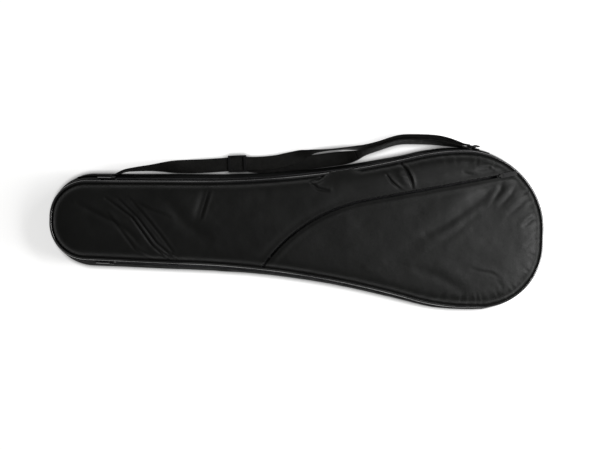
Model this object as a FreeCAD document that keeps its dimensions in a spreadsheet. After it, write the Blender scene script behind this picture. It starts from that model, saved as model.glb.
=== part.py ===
import FreeCAD, Part
import math
import os

import Sketcher
from FreeCAD import Placement, Rotation, Vector

# A padded full-length racket bag, lying on its back: +X towards the head, +Y towards the shoulder
# strap, +Z out of the front. Millimetres. Height 0 is the underside of the rear panel.

doc = FreeCAD.newDocument("racket_bag")

# ---------------------------------------------------------------- driving sizes

SIZES = (
    ("front_height", 52.0, "height of the front outline above the floor"),
    ("front_head_centre", 254.0, "front outline: centre of the head arc along X"),
    ("front_head_radius", 116.0, "front outline: head arc"),
    ("front_handle_half", 60.7, "front outline: half width at the reference station"),
    ("front_corner_radius", 53.0, "front outline: corner at the handle end"),
    ("front_end", 370.0, "front outline: distance of the flat handle end"),
    ("rear_head_centre", 251.0, "rear outline: centre of the head arc along X"),
    ("rear_head_radius", 123.0, "rear outline: head arc"),
    ("rear_handle_half", 73.0, "rear outline: half width at the reference station"),
    ("rear_corner_radius", 66.0, "rear outline: corner at the handle end"),
    ("rear_end", 378.0, "rear outline: distance of the flat handle end"),
    ("shoulder_radius", 300.0, "both outlines: shoulder arc"),
    ("neck_radius", 1400.0, "both outlines: hollow neck arc"),
    ("head_fullness", 22.0, "both outlines: how much tighter and further out the head's -Y corner is"),
    ("handle_station", -160.0, "station where the handle half widths are measured"),
    ("handle_slope", 0.02, "how fast the handle's sides spread, per unit of X"),
    ("hinge_station", -263.0, "fold line of the front flap"),
    ("hinge_gap", 1.0, "half the gap at the fold line"),
    ("zip_end_station", -292.0, "where the main zip's chain ends"),
    ("rear_panel_low", 0.0, "rear fabric, underside"),
    ("rear_panel_high", 1.6, "rear fabric, top"),
    ("rear_foam_low", 1.7, "rear foam, underside"),
    ("rear_foam_high", 6.7, "rear foam, top"),
    ("rear_lining_low", 6.8, "rear lining, underside"),
    ("rear_lining_high", 7.4, "rear lining, top"),
    ("rear_piping_height", 2.7, "centre of the rear piping"),
    ("piping_radius", 2.0, "piping cord with its cover"),
    ("gusset_low", 4.8, "lower edge of the gusset"),
    ("gusset_zip", 31.0, "top of the lower gusset"),
    ("tape_low", 31.1, "lower zip tape, bottom edge"),
    ("tape_low_top", 35.0, "lower zip tape, top edge"),
    ("coil_low", 35.1, "lower coil, bottom"),
    ("coil_low_top", 37.2, "lower coil, top"),
    ("coil_high", 38.8, "upper coil, bottom"),
    ("coil_high_top", 40.9, "upper coil, top"),
    ("tape_high", 41.0, "upper zip tape, bottom edge"),
    ("tape_high_top", 44.9, "upper zip tape, top edge"),
    ("upper_gusset_low", 45.0, "upper gusset, bottom edge"),
    ("upper_gusset_high", 49.8, "upper gusset, top edge"),
    ("front_lining_low", 45.2, "front lining, underside"),
    ("front_lining_high", 45.8, "front lining, top"),
    ("front_foam_low", 45.9, "front foam, underside"),
    ("front_foam_high", 50.7, "front foam, top"),
    ("pocket_back_low", 50.8, "back sheet of the pocket, underside"),
    ("pocket_back_high", 51.4, "back sheet of the pocket, top"),
    ("front_panel_low", 51.5, "front panel, underside"),
    ("front_panel_high", 62.0, "front panel, top"),
    ("front_rim_height", 56.0, "height where the outer panels' rim starts to lean in"),
    ("pocket_skin", 1.6, "thickness of the pocket's outer sheet"),
    ("wall_outer", 0.0, "gusset's outer face, outwards from the outline"),
    ("wall_inner", -3.0, "gusset's inner face"),
    ("tape_outer", -1.0, "zip tape's outer face"),
    ("tape_inner", -2.0, "zip tape's inner face"),
    ("coil_outer", -0.3, "coil's outer face"),
    ("coil_inner", -2.7, "coil's inner face"),
    ("panel_inset", -2.2, "edge of the outer panels, inside the piping"),
    ("rim_inset", -8.0, "top edge of the outer panels' leaning rim"),
    ("layer_inset", -3.4, "edge of the foam and lining, inside the gusset"),
    ("pocket_line_angle", 11.7, "pocket zip: direction of its straight run, in degrees"),
    ("pocket_line_start", 103.0, "pocket zip: X where the straight run begins"),
    ("pocket_line_side", 40.0, "pocket zip: Y where the straight run begins"),
    ("pocket_curve_radius", 240.0, "pocket zip: radius of its curved run"),
    ("pocket_channel", 6.2, "half width of the channel that holds the pocket zip"),
    ("pocket_zip_height", 60.1, "centre height of the pocket zip's chain"),
    ("coil_near", 0.8, "coil's near side, from the chain's centre line"),
    ("coil_far", 2.9, "coil's far side, from the chain's centre line"),
    ("tape_near", 3.0, "tape's near side, from the chain's centre line"),
    ("tape_far", 6.0, "tape's far side, from the chain's centre line"),
    ("coil_thick", 2.4, "thickness of a coil"),
    ("tape_thick", 1.0, "thickness of a zip tape"),
    ("slider_long", 11.0, "zip slider, length"),
    ("slider_wide", 9.0, "zip slider, width"),
    ("slider_inside", 1.55, "zip slider: face of each plate, from the chain's middle"),
    ("slider_plate", 1.2, "zip slider: thickness of each plate"),
    ("slider_post_long", 2.6, "zip slider: post between the plates, length"),
    ("slider_post_wide", 0.9, "zip slider: post between the plates, width"),
    ("bridge_long", 6.0, "zip slider: bridge over the outer plate, length"),
    ("bridge_wide", 2.4, "zip slider: bridge, width"),
    ("bridge_high", 3.5, "zip slider: bridge, height"),
    ("pull_height", 4.6, "zip slider: height of the pull's cross bar"),
    ("bridge_hole", 1.22, "zip slider: radius of the eye in the bridge"),
    ("pull_bar", 1.15, "zip pull: radius of its cross bar"),
    ("pull_thick", 1.8, "zip pull: thickness"),
    ("pull_wide", 6.4, "zip pull: width"),
    ("pull_long", 24.0, "zip pull: length from its cross bar"),
    ("pull_eye_long", 3.8, "zip pull: length of the gap round the bridge"),
    ("pull_eye_wide", 2.8, "zip pull: width of the gap round the bridge"),
    ("webbing_wide", 20.0, "shoulder strap: width"),
    ("webbing_thick", 1.6, "shoulder strap: thickness"),
    ("strap_low", 5.0, "underside of the strap's long layer"),
    ("return_low", 2.9, "underside of the strap's return layer"),
    ("wire_radius", 1.5, "strap ring: wire"),
    ("wire_room", 0.15, "strap ring: gap between its wire and the webbing round it"),
    ("ring_long", 10.0, "strap ring: distance between its two bars"),
    ("ring_wide", 24.0, "strap ring: distance between its two sides"),
    ("ring_corner", 3.0, "strap ring: radius of its corners"),
    ("ring_height", 17.0, "strap ring: height of its middle"),
    ("ring_station", 260.0, "strap ring: X of its first bar"),
    ("ring_off", 5.8, "strap ring: how far outside the gusset its wire stands"),
    ("adjuster_long", 28.0, "three-bar adjuster: length"),
    ("adjuster_wide", 25.8, "three-bar adjuster: width"),
    ("adjuster_rail", 2.5, "three-bar adjuster: width of each side rail"),
    ("adjuster_end_bar", 4.0, "three-bar adjuster: length of each end bar"),
    ("adjuster_middle_bar", 5.0, "three-bar adjuster: length of the middle bar"),
    ("adjuster_low", 1.7, "three-bar adjuster: underside"),
    ("adjuster_middle_high", 3.3, "three-bar adjuster: top of the middle bar"),
    ("adjuster_end_low", 7.0, "three-bar adjuster: underside of the end bars"),
    ("adjuster_high", 8.8, "three-bar adjuster: top"),
    ("adjuster_along", 92.0, "three-bar adjuster: distance from the strap's first end"),
    ("return_along", 17.0, "strap: distance from the adjuster's centre to the return layer"),
    ("fold_low", 0.4, "webbing folded round the adjuster's middle bar: underside"),
    ("fold_high", 4.6, "webbing folded round the adjuster's middle bar: top"),
    ("fold_begin", -4.0, "webbing folded round the adjuster's middle bar: one end"),
    ("fold_end", 15.5, "webbing folded round the adjuster's middle bar: other end"),
    ("bar_room_low", 1.6, "room for the middle bar in the fold: underside"),
    ("bar_room_high", 3.4, "room for the middle bar in the fold: top"),
    ("bar_room_long", 5.4, "room for the middle bar in the fold: length"),
    ("patch_low", 0.1, "gusset patches: inner face, outwards from the outline"),
    ("patch_high", 1.3, "gusset patches: outer face"),
    ("sewn_low", 1.4, "webbing sewn on a patch: inner face, outwards from the outline"),
    ("sewn_high", 3.0, "webbing sewn on a patch: outer face"),
    ("slider_station", -279.0, "main zip sliders: X at rest"),
    ("pocket_slider_along", 204.0, "pocket zip slider: distance along the straight run at rest"),
    ("chain_end", 212.0, "pocket zip: length of the chain's straight run"),
    ("chain_last_angle", 142.0, "pocket zip: where the chain's curved run ends, in degrees"),
    ("stop_long", 2.5, "zip stops: length"),
    ("stop_gap", 0.1, "zip stops: gap to the end of the chain"),
)

sheet = doc.addObject("Spreadsheet::Sheet", "Sizes")
for row, (alias, value, note) in enumerate(SIZES, start=1):
    sheet.set(f"A{row}", note)
    sheet.set(f"B{row}", str(value))
    sheet.setAlias(f"B{row}", alias)
doc.recompute()
size = {alias: float(sheet.get(alias)) for alias, _, _ in SIZES}

ABOVE = 120.0  # a height over the whole bag, from which cuts go down
WIDE = 500.0  # further out than any part of the bag


# ---------------------------------------------------------------- outlines

def between(name, height):
    """The rear and front outlines' own dimension at a height between them."""
    rear, front = size["rear_" + name], size["front_" + name]
    return rear + (front - rear) * height / size["front_height"]


def between_text(name, height_alias):
    return (f"Sizes.rear_{name} + (Sizes.front_{name} - Sizes.rear_{name})"
            f" * Sizes.{height_alias} / Sizes.front_height")


def side_line(height):
    """The handle's straight side: a point on it, its direction and its outward normal."""
    slope = size["handle_slope"]
    length = math.hypot(1.0, slope)
    along = Vector(1.0 / length, slope / length, 0)
    outward = Vector(-slope / length, 1.0 / length, 0)
    return Vector(size["handle_station"], between("handle_half", height), 0), along, outward


def outline(height, offset):
    """The bag's closed outline at a height: (kind, numbers, constraint name) from the head's tip."""
    head = Vector(between("head_centre", height), 0, 0)
    head_r = between("head_radius", height)
    shoulder_r, neck_r = size["shoulder_radius"], size["neck_radius"]
    corner_r = between("corner_radius", height)
    shoulder = Vector(head.x, head_r - shoulder_r, 0)
    start, along, outward = side_line(height)
    # The neck arc touches the side line and the shoulder arc.
    foot = start + outward * neck_r - shoulder
    run = -foot.dot(along) - math.sqrt(foot.dot(along) ** 2 - foot.dot(foot) + (shoulder_r + neck_r) ** 2)
    neck = shoulder + foot + along * run
    # The corner arc touches the side line and the flat end.
    end = -between("end", height)
    inward = start - outward * corner_r
    corner = inward + along * ((end + corner_r - inward.x) / along.x)
    at_neck = math.atan2(neck.y - shoulder.y, neck.x - shoulder.x)
    normal = math.atan2(outward.y, outward.x)
    upper = [
        ("arc", head, head_r + offset, 0.0, math.pi / 2, "head"),
        ("arc", shoulder, shoulder_r + offset, math.pi / 2, at_neck, "shoulder"),
        ("turn", neck, neck_r - offset, at_neck - math.pi, normal - math.pi, "neck"),
        ("line", neck - outward * (neck_r - offset), corner + outward * (corner_r + offset)),
        ("arc", corner, corner_r + offset, normal, math.pi, "corner"),
    ]
    tip = Vector(end - offset, corner.y, 0)
    # The head's lower side is fuller: a tighter arc between two short straight runs.
    full = size["head_fullness"]
    reach = head_r + offset
    fuller = [
        ("line", head + Vector(0, -reach, 0), head + Vector(full, -reach, 0)),
        ("arc", head + Vector(full, -full, 0), reach - full, -math.pi / 2, 0.0, "full_head"),
        ("line", head + Vector(reach, -full, 0), head + Vector(reach, 0, 0)),
    ]
    lower = []
    for part in reversed(upper[1:]):
        if part[0] == "line":
            lower.append(("line", flip(part[2]), flip(part[1])))
        else:
            lower.append((part[0], flip(part[1]), part[2], -part[4], -part[3], part[5]))
    return upper + [("line", tip, flip(tip))] + lower + fuller


def flip(point):
    return Vector(point.x, -point.y, point.z)


def rectangle(low_x, high_x, low_y, high_y):
    corners = [Vector(low_x, low_y, 0), Vector(high_x, low_y, 0),
               Vector(high_x, high_y, 0), Vector(low_x, high_y, 0)]
    return polygon(corners)


def polygon(corners):
    return [("line", a, b) for a, b in zip(corners, corners[1:] + corners[:1])]


def circle_arc(centre, radius, low, high):
    return Part.ArcOfCircle(Part.Circle(centre, Vector(0, 0, 1), radius), low, high)


def draw(sketch, parts, closed=True):
    """Draws the parts one after another and ties their ends together."""
    ends = []
    for part in parts:
        if part[0] == "line":
            index = sketch.addGeometry(Part.LineSegment(part[1], part[2]), False)
            ends.append((index, 1, 2))
            continue
        kind, centre, radius, begin, finish = part[:5]
        # Arcs are stored anticlockwise; a "turn" bends the other way, so its ends swap.
        low, high = (finish, begin) if kind == "turn" else (begin, finish)
        while high < low:
            high += 2 * math.pi
        index = sketch.addGeometry(circle_arc(centre, radius, low, high), False)
        ends.append((index, 2, 1) if kind == "turn" else (index, 1, 2))
    followers = ends[1:] + ends[:1] if closed else ends[1:]
    for (a, _, a_end), (b, b_start, _) in zip(ends, followers):
        sketch.addConstraint(Sketcher.Constraint("Coincident", a, a_end, b, b_start))
    return [index for index, _, _ in ends]


# ---------------------------------------------------------------- building blocks

bodies = []


def new_body(label):
    body = doc.addObject("PartDesign::Body", label)
    body.Label = label
    bodies.append(body)
    return body


def origin_plane(body, role):
    return next(f for f in body.Origin.OriginFeatures if f.Role == role)


def sketch_on(body, name, role="XY_Plane"):
    sketch = body.newObject("Sketcher::SketchObject", f"{body.Name}_{name}")
    sketch.AttachmentSupport = [(origin_plane(body, role), "")]
    sketch.MapMode = "FlatFace"
    return sketch


def level_sketch(body, name, level, parts):
    """A horizontal sketch at a height of the sheet, or at a plain number."""
    sketch = sketch_on(body, name)
    if isinstance(level, str):
        sketch.AttachmentOffset = Placement(Vector(0, 0, size[level]), Rotation())
        sketch.setExpression("AttachmentOffset.Base.z", f"Sizes.{level}")
    else:
        sketch.AttachmentOffset = Placement(Vector(0, 0, level), Rotation())
    draw(sketch, parts)
    return sketch


def outline_sketch(body, name, level, offset, shape=None):
    """The outline that the bag has at height shape, drawn at a level, its radii bound to the sheet."""
    shape = shape or level
    parts = outline(size[shape], size[offset])
    sketch = level_sketch(body, name, level, parts)
    formulas = {
        "head": f"{between_text('head_radius', shape)} + Sizes.{offset}",
        "full_head": f"{between_text('head_radius', shape)} + Sizes.{offset} - Sizes.head_fullness",
        "shoulder": f"Sizes.shoulder_radius + Sizes.{offset}",
        "neck": f"Sizes.neck_radius - Sizes.{offset}",
        "corner": f"{between_text('corner_radius', shape)} + Sizes.{offset}",
    }
    for index, part in enumerate(parts):
        if part[0] == "line":
            continue
        number = sketch.addConstraint(Sketcher.Constraint("Radius", index, part[2]))
        label = f"{part[5]}_{index}"
        sketch.renameConstraint(number, label)
        sketch.setExpression(f"Constraints.{label}", formulas[part[5]])
    return sketch


def pad(body, sketch, length):
    """Pads a sketch by a sheet formula or a plain length."""
    feature = body.newObject("PartDesign::Pad", f"{sketch.Name}_pad")
    feature.Profile = sketch
    if isinstance(length, str):
        feature.setExpression("Length", length)
    else:
        feature.Length = length
    return feature


def cut(body, name, parts, floor=-10.0, top=ABOVE):
    """Cuts a region away, from a height down to a floor."""
    sketch = level_sketch(body, name, top, parts)
    feature = body.newObject("PartDesign::Pocket", f"{sketch.Name}_pocket")
    feature.Profile = sketch
    feature.Length = top - floor
    return feature


def plate(label, low, high, inset):
    """A flat layer with upright edges and the outline that the bag has at the layer's top."""
    body = new_body(label)
    pad(body, outline_sketch(body, "edge", low, inset, shape=high), f"Sizes.{high} - Sizes.{low}")
    return body


def band(label, low, high, outer, inner):
    """A leaning strip of wall all round the bag, between two heights."""
    body = new_body(label)
    for kind, offset in (("AdditiveLoft", outer), ("SubtractiveLoft", inner)):
        bottom = outline_sketch(body, f"{offset}_bottom", low, offset)
        top = outline_sketch(body, f"{offset}_top", high, offset)
        loft = body.newObject(f"PartDesign::{kind}", f"{body.Name}_{offset}")
        loft.Profile = bottom
        loft.Sections = [top]
        loft.Ruled = True
    return body


def tube_along(body, spine, profile):
    pipe = body.newObject("PartDesign::AdditivePipe", f"{body.Name}_pipe")
    pipe.Profile = profile
    pipe.Spine = spine
    return pipe


def piping(label, level):
    """A round piping cord on the outline."""
    body = new_body(label)
    spine = outline_sketch(body, "path", level, "wall_outer")
    profile = sketch_on(body, "section", "XZ_Plane")
    tip = between("head_centre", size[level]) + between("head_radius", size[level])
    centre = Vector(tip, size[level], 0)
    profile.addGeometry(Part.Circle(centre, Vector(0, 0, 1), size["piping_radius"]), False)
    profile.addConstraint(Sketcher.Constraint("Radius", 0, size["piping_radius"]))
    profile.renameConstraint(0, "cord")
    profile.setExpression("Constraints.cord", "Sizes.piping_radius")
    tube_along(body, spine, profile)
    return body


def keep_flap(body):
    """Leaves only what lifts with the flap."""
    edge = size["hinge_station"] + size["hinge_gap"]
    cut(body, "fold", rectangle(-WIDE, edge, -WIDE, WIDE))
    return body


def keep_end(body):
    """Leaves only what stays at the handle end."""
    edge = size["hinge_station"] - size["hinge_gap"]
    cut(body, "fold", rectangle(edge, WIDE, -WIDE, WIDE))
    return body


def keep_stretch(body, low_x, high_x):
    """Leaves only the stretch of a band between two stations."""
    cut(body, "before", rectangle(-WIDE, low_x, -WIDE, WIDE))
    cut(body, "after", rectangle(high_x, WIDE, -WIDE, WIDE))
    return body


# ---------------------------------------------------------------- rear tray

plate("rear_panel", "rear_panel_low", "rear_panel_high", "panel_inset")
plate("rear_foam_pad", "rear_foam_low", "rear_foam_high", "layer_inset")
plate("rear_lining", "rear_lining_low", "rear_lining_high", "layer_inset")
piping("rear_piping", "rear_piping_height")
band("lower_gusset", "gusset_low", "gusset_zip", "wall_outer", "wall_inner")

zip_end = size["zip_end_station"]
flap_edge = size["hinge_station"] + size["hinge_gap"]
end_edge = size["hinge_station"] - size["hinge_gap"]


def zip_half(label, name, low, high, begin, finish):
    """One tape or coil of the main zip, from one station towards the head."""
    body = band(label, low, high, f"{name}_outer", f"{name}_inner")
    return keep_stretch(body, begin, finish)


zip_half("zip_tape_lower", "tape", "tape_low", "tape_low_top", zip_end, WIDE - 1)
zip_half("zip_coil_lower", "coil", "coil_low", "coil_low_top", zip_end, WIDE - 1)
zip_half("zip_tape_upper", "tape", "tape_high", "tape_high_top", flap_edge, WIDE - 1)
zip_half("zip_coil_upper", "coil", "coil_high", "coil_high_top", flap_edge, WIDE - 1)
zip_half("zip_end_tape", "tape", "tape_high", "tape_high_top", zip_end, end_edge)
zip_half("zip_end_coil", "coil", "coil_high", "coil_high_top", zip_end, end_edge)

stop_end = zip_end - size["stop_gap"]
stop_begin = stop_end - size["stop_long"]
stops = band("main_zip_stops", "coil_low", "coil_high_top", "coil_outer", "coil_inner")
keep_stretch(stops, stop_begin, stop_end)

# ---------------------------------------------------------------- fixed handle end

end_wall = band("handle_end_gusset", "tape_low", "upper_gusset_high", "wall_outer", "wall_inner")
keep_end(end_wall)
cut(end_wall, "zip", rectangle(stop_begin - size["stop_gap"], WIDE, -WIDE, WIDE),
    top=size["upper_gusset_low"])
keep_end(plate("handle_end_lining", "front_lining_low", "front_lining_high", "layer_inset"))
keep_end(plate("handle_end_foam", "front_foam_low", "front_foam_high", "layer_inset"))
keep_end(piping("handle_end_piping", "front_height"))


def outer_panel(label):
    """A padded outer panel inside the piping, its rim leaning in towards the top."""
    body = plate(label, "front_panel_low", "front_rim_height", "panel_inset")
    loft = body.newObject("PartDesign::AdditiveLoft", f"{label}_rim")
    loft.Profile = outline_sketch(body, "rim_bottom", "front_rim_height", "panel_inset")
    loft.Sections = [outline_sketch(body, "rim_top", "front_panel_high", "rim_inset")]
    loft.Ruled = True
    return body


keep_end(outer_panel("handle_end_panel"))

# ---------------------------------------------------------------- front flap

keep_flap(band("upper_gusset", "upper_gusset_low", "upper_gusset_high", "wall_outer", "wall_inner"))
keep_flap(plate("front_lining", "front_lining_low", "front_lining_high", "layer_inset"))
keep_flap(plate("front_foam_pad", "front_foam_low", "front_foam_high", "layer_inset"))
keep_flap(plate("pocket_back", "pocket_back_low", "pocket_back_high", "layer_inset"))
keep_flap(piping("front_piping", "front_height"))

# The pocket's edge: a straight run up to the head and a curve down to the far side.
line_angle = math.radians(size["pocket_line_angle"])
line_along = Vector(math.cos(line_angle), math.sin(line_angle), 0)
line_across = Vector(-math.sin(line_angle), math.cos(line_angle), 0)
line_start = Vector(size["pocket_line_start"], size["pocket_line_side"], 0)
curve_radius = size["pocket_curve_radius"]
curve_centre = line_start - line_across * curve_radius
curve_begin = line_angle + math.pi / 2


def curve_point(angle, side):
    out = Vector(math.cos(angle), math.sin(angle), 0)
    return curve_centre + out * (curve_radius + side)


def pocket_region(side, upper):
    """All on one side of the pocket's edge, moved sideways by a distance."""
    far_angle = math.radians(168)
    far = line_start + line_across * side + line_along * WIDE
    near = line_start + line_across * side
    bottom = curve_point(far_angle, side)
    run = [("line", far, near), ("arc", curve_centre, curve_radius + side, curve_begin, far_angle)]
    level = WIDE if upper else -WIDE
    if upper:
        corners = [bottom, Vector(-WIDE, bottom.y, 0), Vector(-WIDE, level, 0),
                   Vector(far.x, level, 0), far]
    else:
        corners = [bottom, Vector(bottom.x, level, 0), Vector(far.x, level, 0), far]
    return run + [("line", a, b) for a, b in zip(corners, corners[1:])]


front = keep_flap(outer_panel("front_panel"))
cut(front, "channel", pocket_region(size["pocket_channel"], upper=False))

pocket = outer_panel("pocket_panel")
cut(pocket, "channel", pocket_region(-size["pocket_channel"], upper=True))
# Its hollow is open below, where the back sheet closes it.
hollow = outline(size["front_panel_low"], size["rim_inset"] - size["pocket_skin"])
cut(pocket, "hollow_strip", hollow, top=size["front_panel_high"] - size["pocket_skin"])
doc.recompute()

chain_end = size["chain_end"]
chain_last_angle = math.radians(size["chain_last_angle"])


def chain_strip(label, near, far, thick, side):
    """One tape or coil of the pocket zip: side 1 is away from the pocket, -1 towards it."""
    body = new_body(label)
    low_side, high_side = sorted((size[near] * side, size[far] * side))
    inner, outer = (line_start + line_across * offset for offset in (low_side, high_side))
    tip = line_along * chain_end
    parts = [
        ("line", outer + tip, outer),
        ("arc", curve_centre, curve_radius + high_side, curve_begin, chain_last_angle),
        ("line", curve_point(chain_last_angle, high_side), curve_point(chain_last_angle, low_side)),
        ("turn", curve_centre, curve_radius + low_side, chain_last_angle, curve_begin),
        ("line", inner, inner + tip),
        ("line", inner + tip, outer + tip),
    ]
    sketch = level_sketch(body, "strip", size["pocket_zip_height"] - size[thick] / 2, parts)
    sketch.setExpression("AttachmentOffset.Base.z", f"Sizes.pocket_zip_height - Sizes.{thick} / 2")
    pad(body, sketch, f"Sizes.{thick}")
    return body


for name, side in (("upper", 1), ("lower", -1)):
    chain_strip(f"pocket_tape_{name}", "tape_near", "tape_far", "tape_thick", side)
    chain_strip(f"pocket_coil_{name}", "coil_near", "coil_far", "coil_thick", side)


def chain_stop(label):
    """The stops at both ends of the pocket zip, as two blocks in one piece."""
    body = new_body(label)
    low, high = -size["coil_far"], size["coil_far"]
    long, gap = size["stop_long"], size["stop_gap"]
    first = line_start + line_along * (chain_end + gap)
    beyond = first + line_along * long
    at_head = [first + line_across * low, beyond + line_across * low,
               beyond + line_across * high, first + line_across * high]
    down = Vector(-math.sin(chain_last_angle), math.cos(chain_last_angle), 0)
    out = Vector(math.cos(chain_last_angle), math.sin(chain_last_angle), 0)
    near = curve_point(chain_last_angle, 0) + down * gap
    below = near + down * long
    at_curve = [near + out * low, near + out * high, below + out * high, below + out * low]
    for name, corners in (("head", at_head), ("curve", at_curve)):
        sketch = level_sketch(body, name, size["pocket_zip_height"] - size["coil_thick"] / 2,
                              polygon(corners))
        pad(body, sketch, "Sizes.coil_thick")
    body.AllowCompound = True
    return body


chain_stop("pocket_zip_stops")

# ---------------------------------------------------------------- zip sliders and pulls


def centred_sketch(body, name, level, long, wide, shift=0.0):
    """A rectangle on the slider's own axes, its sides bound to the sheet."""
    half_long, half_wide = size[long] / 2, size[wide] / 2
    sketch = sketch_on(body, name)
    sketch.AttachmentOffset = Placement(Vector(0, 0, level), Rotation())
    draw(sketch, rectangle(shift - half_long, shift + half_long, -half_wide, half_wide))
    for kind, index, alias in (("DistanceX", 0, long), ("DistanceY", 1, wide)):
        number = sketch.addConstraint(Sketcher.Constraint(kind, index, 1, index, 2, size[alias]))
        sketch.renameConstraint(number, alias)
        sketch.setExpression(f"Constraints.{alias}", f"Sizes.{alias}")
    return sketch


def cross_hole(body, name, radius, half_width, cutting):
    """A round bar or eye across the slider, at the pull's height."""
    sketch = sketch_on(body, name, "XZ_Plane")
    sketch.addGeometry(Part.Circle(Vector(0, size["pull_height"], 0), Vector(0, 0, 1), size[radius]), False)
    number = sketch.addConstraint(Sketcher.Constraint("Radius", 0, size[radius]))
    sketch.renameConstraint(number, radius)
    sketch.setExpression(f"Constraints.{radius}", f"Sizes.{radius}")
    kind = "PartDesign::Pocket" if cutting else "PartDesign::Pad"
    feature = body.newObject(kind, f"{sketch.Name}_{name}")
    feature.Profile = sketch
    feature.Length = half_width * 2
    feature.SideType = "Symmetric"
    return feature


def zip_slider(label, place):
    """Two plates joined by a post between the two coils, with a bridge for the pull."""
    body = new_body(label)
    inside, thick = size["slider_inside"], size["slider_plate"]
    pad(body, centred_sketch(body, "inner", -inside - thick, "slider_long", "slider_wide"),
        "Sizes.slider_plate")
    post_shift = size["slider_long"] / 2 - size["slider_post_long"]
    pad(body, centred_sketch(body, "post", -inside - 0.1, "slider_post_long", "slider_post_wide", post_shift),
        "2 * Sizes.slider_inside + 0.2")
    pad(body, centred_sketch(body, "outer", inside, "slider_long", "slider_wide"), "Sizes.slider_plate")
    pad(body, centred_sketch(body, "bridge", inside + thick, "bridge_long", "bridge_wide"),
        "Sizes.bridge_high")
    cross_hole(body, "eye", "bridge_hole", size["bridge_wide"], cutting=True)
    body.Placement = place
    return body


def zip_pull(label, place, toward):
    """A flat tab on a cross bar, lying along the chain: toward 1 or -1 is its direction."""
    body = new_body(label)
    half_wide = size["pull_wide"] / 2
    low = size["pull_height"] - size["pull_thick"] / 2
    begin, finish = sorted((-1.0 * toward, size["pull_long"] * toward))
    sketch = sketch_on(body, "tab")
    sketch.AttachmentOffset = Placement(Vector(0, 0, low), Rotation())
    draw(sketch, rectangle(begin, finish, -half_wide, half_wide))
    pad(body, sketch, "Sizes.pull_thick")
    gap_begin, gap_end = sorted((-2.0 * toward, size["pull_eye_long"] * toward))
    gap = sketch_on(body, "gap")
    gap.AttachmentOffset = Placement(Vector(0, 0, ABOVE), Rotation())
    half_gap = size["pull_eye_wide"] / 2
    draw(gap, rectangle(gap_begin, gap_end, -half_gap, half_gap))
    opening = body.newObject("PartDesign::Pocket", f"{label}_gap_cut")
    opening.Profile = gap
    opening.Length = 2 * ABOVE
    cross_hole(body, "bar", "pull_bar", half_wide, cutting=False)
    body.Placement = place
    return body


def main_zip_place(side):
    """The slider's own axes on the handle's straight side: chain, across, outwards."""
    middle = (size["coil_low_top"] + size["coil_high"]) / 2
    point, along, outward = side_line(middle)
    point += along * (size["slider_station"] - point.x) / along.x
    point += outward * (size["coil_outer"] + size["coil_inner"]) / 2
    point.z = middle
    lean = (size["rear_handle_half"] - size["front_handle_half"]) / size["front_height"]
    outward = Vector(outward.x, outward.y, lean).normalize()
    if side < 0:
        point, along, outward = flip(point), flip(along), flip(outward)
    across = outward.cross(along)
    return Placement(point, Rotation(along, across, outward, "XZY"))


for name, side in (("strap_side", 1), ("far_side", -1)):
    place = main_zip_place(side)
    zip_slider(f"zip_slider_{name}", place)
    zip_pull(f"zip_pull_{name}", place, -1)

pocket_rest = line_start + line_along * size["pocket_slider_along"]
pocket_rest.z = size["pocket_zip_height"]
pocket_place = Placement(pocket_rest, Rotation(line_along, line_across, Vector(0, 0, 1), "XZY"))
zip_slider("pocket_zip_slider", pocket_place)
zip_pull("pocket_zip_pull", pocket_place, 1)

# ---------------------------------------------------------------- shoulder strap

# The strap's sewn end runs along the gusset and is stitched to it through a patch. The ring's tab is
# sewn to a patch of its own beside the head.
PATCHES = (
    ("strap_anchor_patch", 7.5, 30.5, "patch_low", "patch_high", -342.0, -304.0),
    ("strap_sewn_end", 9.0, 29.0, "sewn_low", "sewn_high", -336.0, -190.0),
    ("ring_anchor_patch", 6.0, 28.0, "patch_low", "patch_high", 256.0, 298.0),
    ("ring_tab_end", 8.5, 25.5, "sewn_low", "sewn_high", 275.0, 293.0),
)


def gusset_patch(label, low, high, inner, outer, low_x, high_x):
    """A strip lying on the gusset's outer face, on the strap's side."""
    body = new_body(label)
    for kind, offset in (("AdditiveLoft", size[outer]), ("SubtractiveLoft", size[inner])):
        loft = body.newObject(f"PartDesign::{kind}", f"{label}_{kind}")
        loft.Profile = level_sketch(body, f"{kind}_bottom", low, outline(low, offset))
        loft.Sections = [level_sketch(body, f"{kind}_top", high, outline(high, offset))]
        loft.Ruled = True
    keep_stretch(body, low_x, high_x)
    cut(body, "side", rectangle(-WIDE, WIDE, -WIDE, 0))


for patch in PATCHES:
    gusset_patch(*patch)

# The strap's long layer and its return layer follow one route on the floor beside the bag.
STRAP_ROUTE = [Vector(-186, 86, 0), Vector(-40, 95, 0), Vector(60, 110, 0),
               Vector(130, 129, 0), Vector(205, 138.5, 0), Vector(229, 136.5, 0)]


def strap_strip(label, level, route):
    """A flat strip of webbing along a route of straight runs joined by tangent arcs."""
    body = new_body(label)
    half = size["webbing_wide"] / 2
    spine = sketch_on(body, "route")
    spine.AttachmentOffset = Placement(Vector(0, 0, size[level] + size["webbing_thick"] / 2), Rotation())
    draw(spine, rounded(route), closed=False)
    first = (route[1] - route[0]).normalize()
    section = body.newObject("Sketcher::SketchObject", f"{label}_section")
    across = Vector(-first.y, first.x, 0)
    centre = Vector(route[0].x, route[0].y, size[level] + size["webbing_thick"] / 2)
    section.Placement = Placement(centre, Rotation(across, Vector(0, 0, 1), first, "XYZ"))
    thick = size["webbing_thick"] / 2
    draw(section, rectangle(-half, half, -thick, thick))
    tube_along(body, spine, section)
    return body


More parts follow.
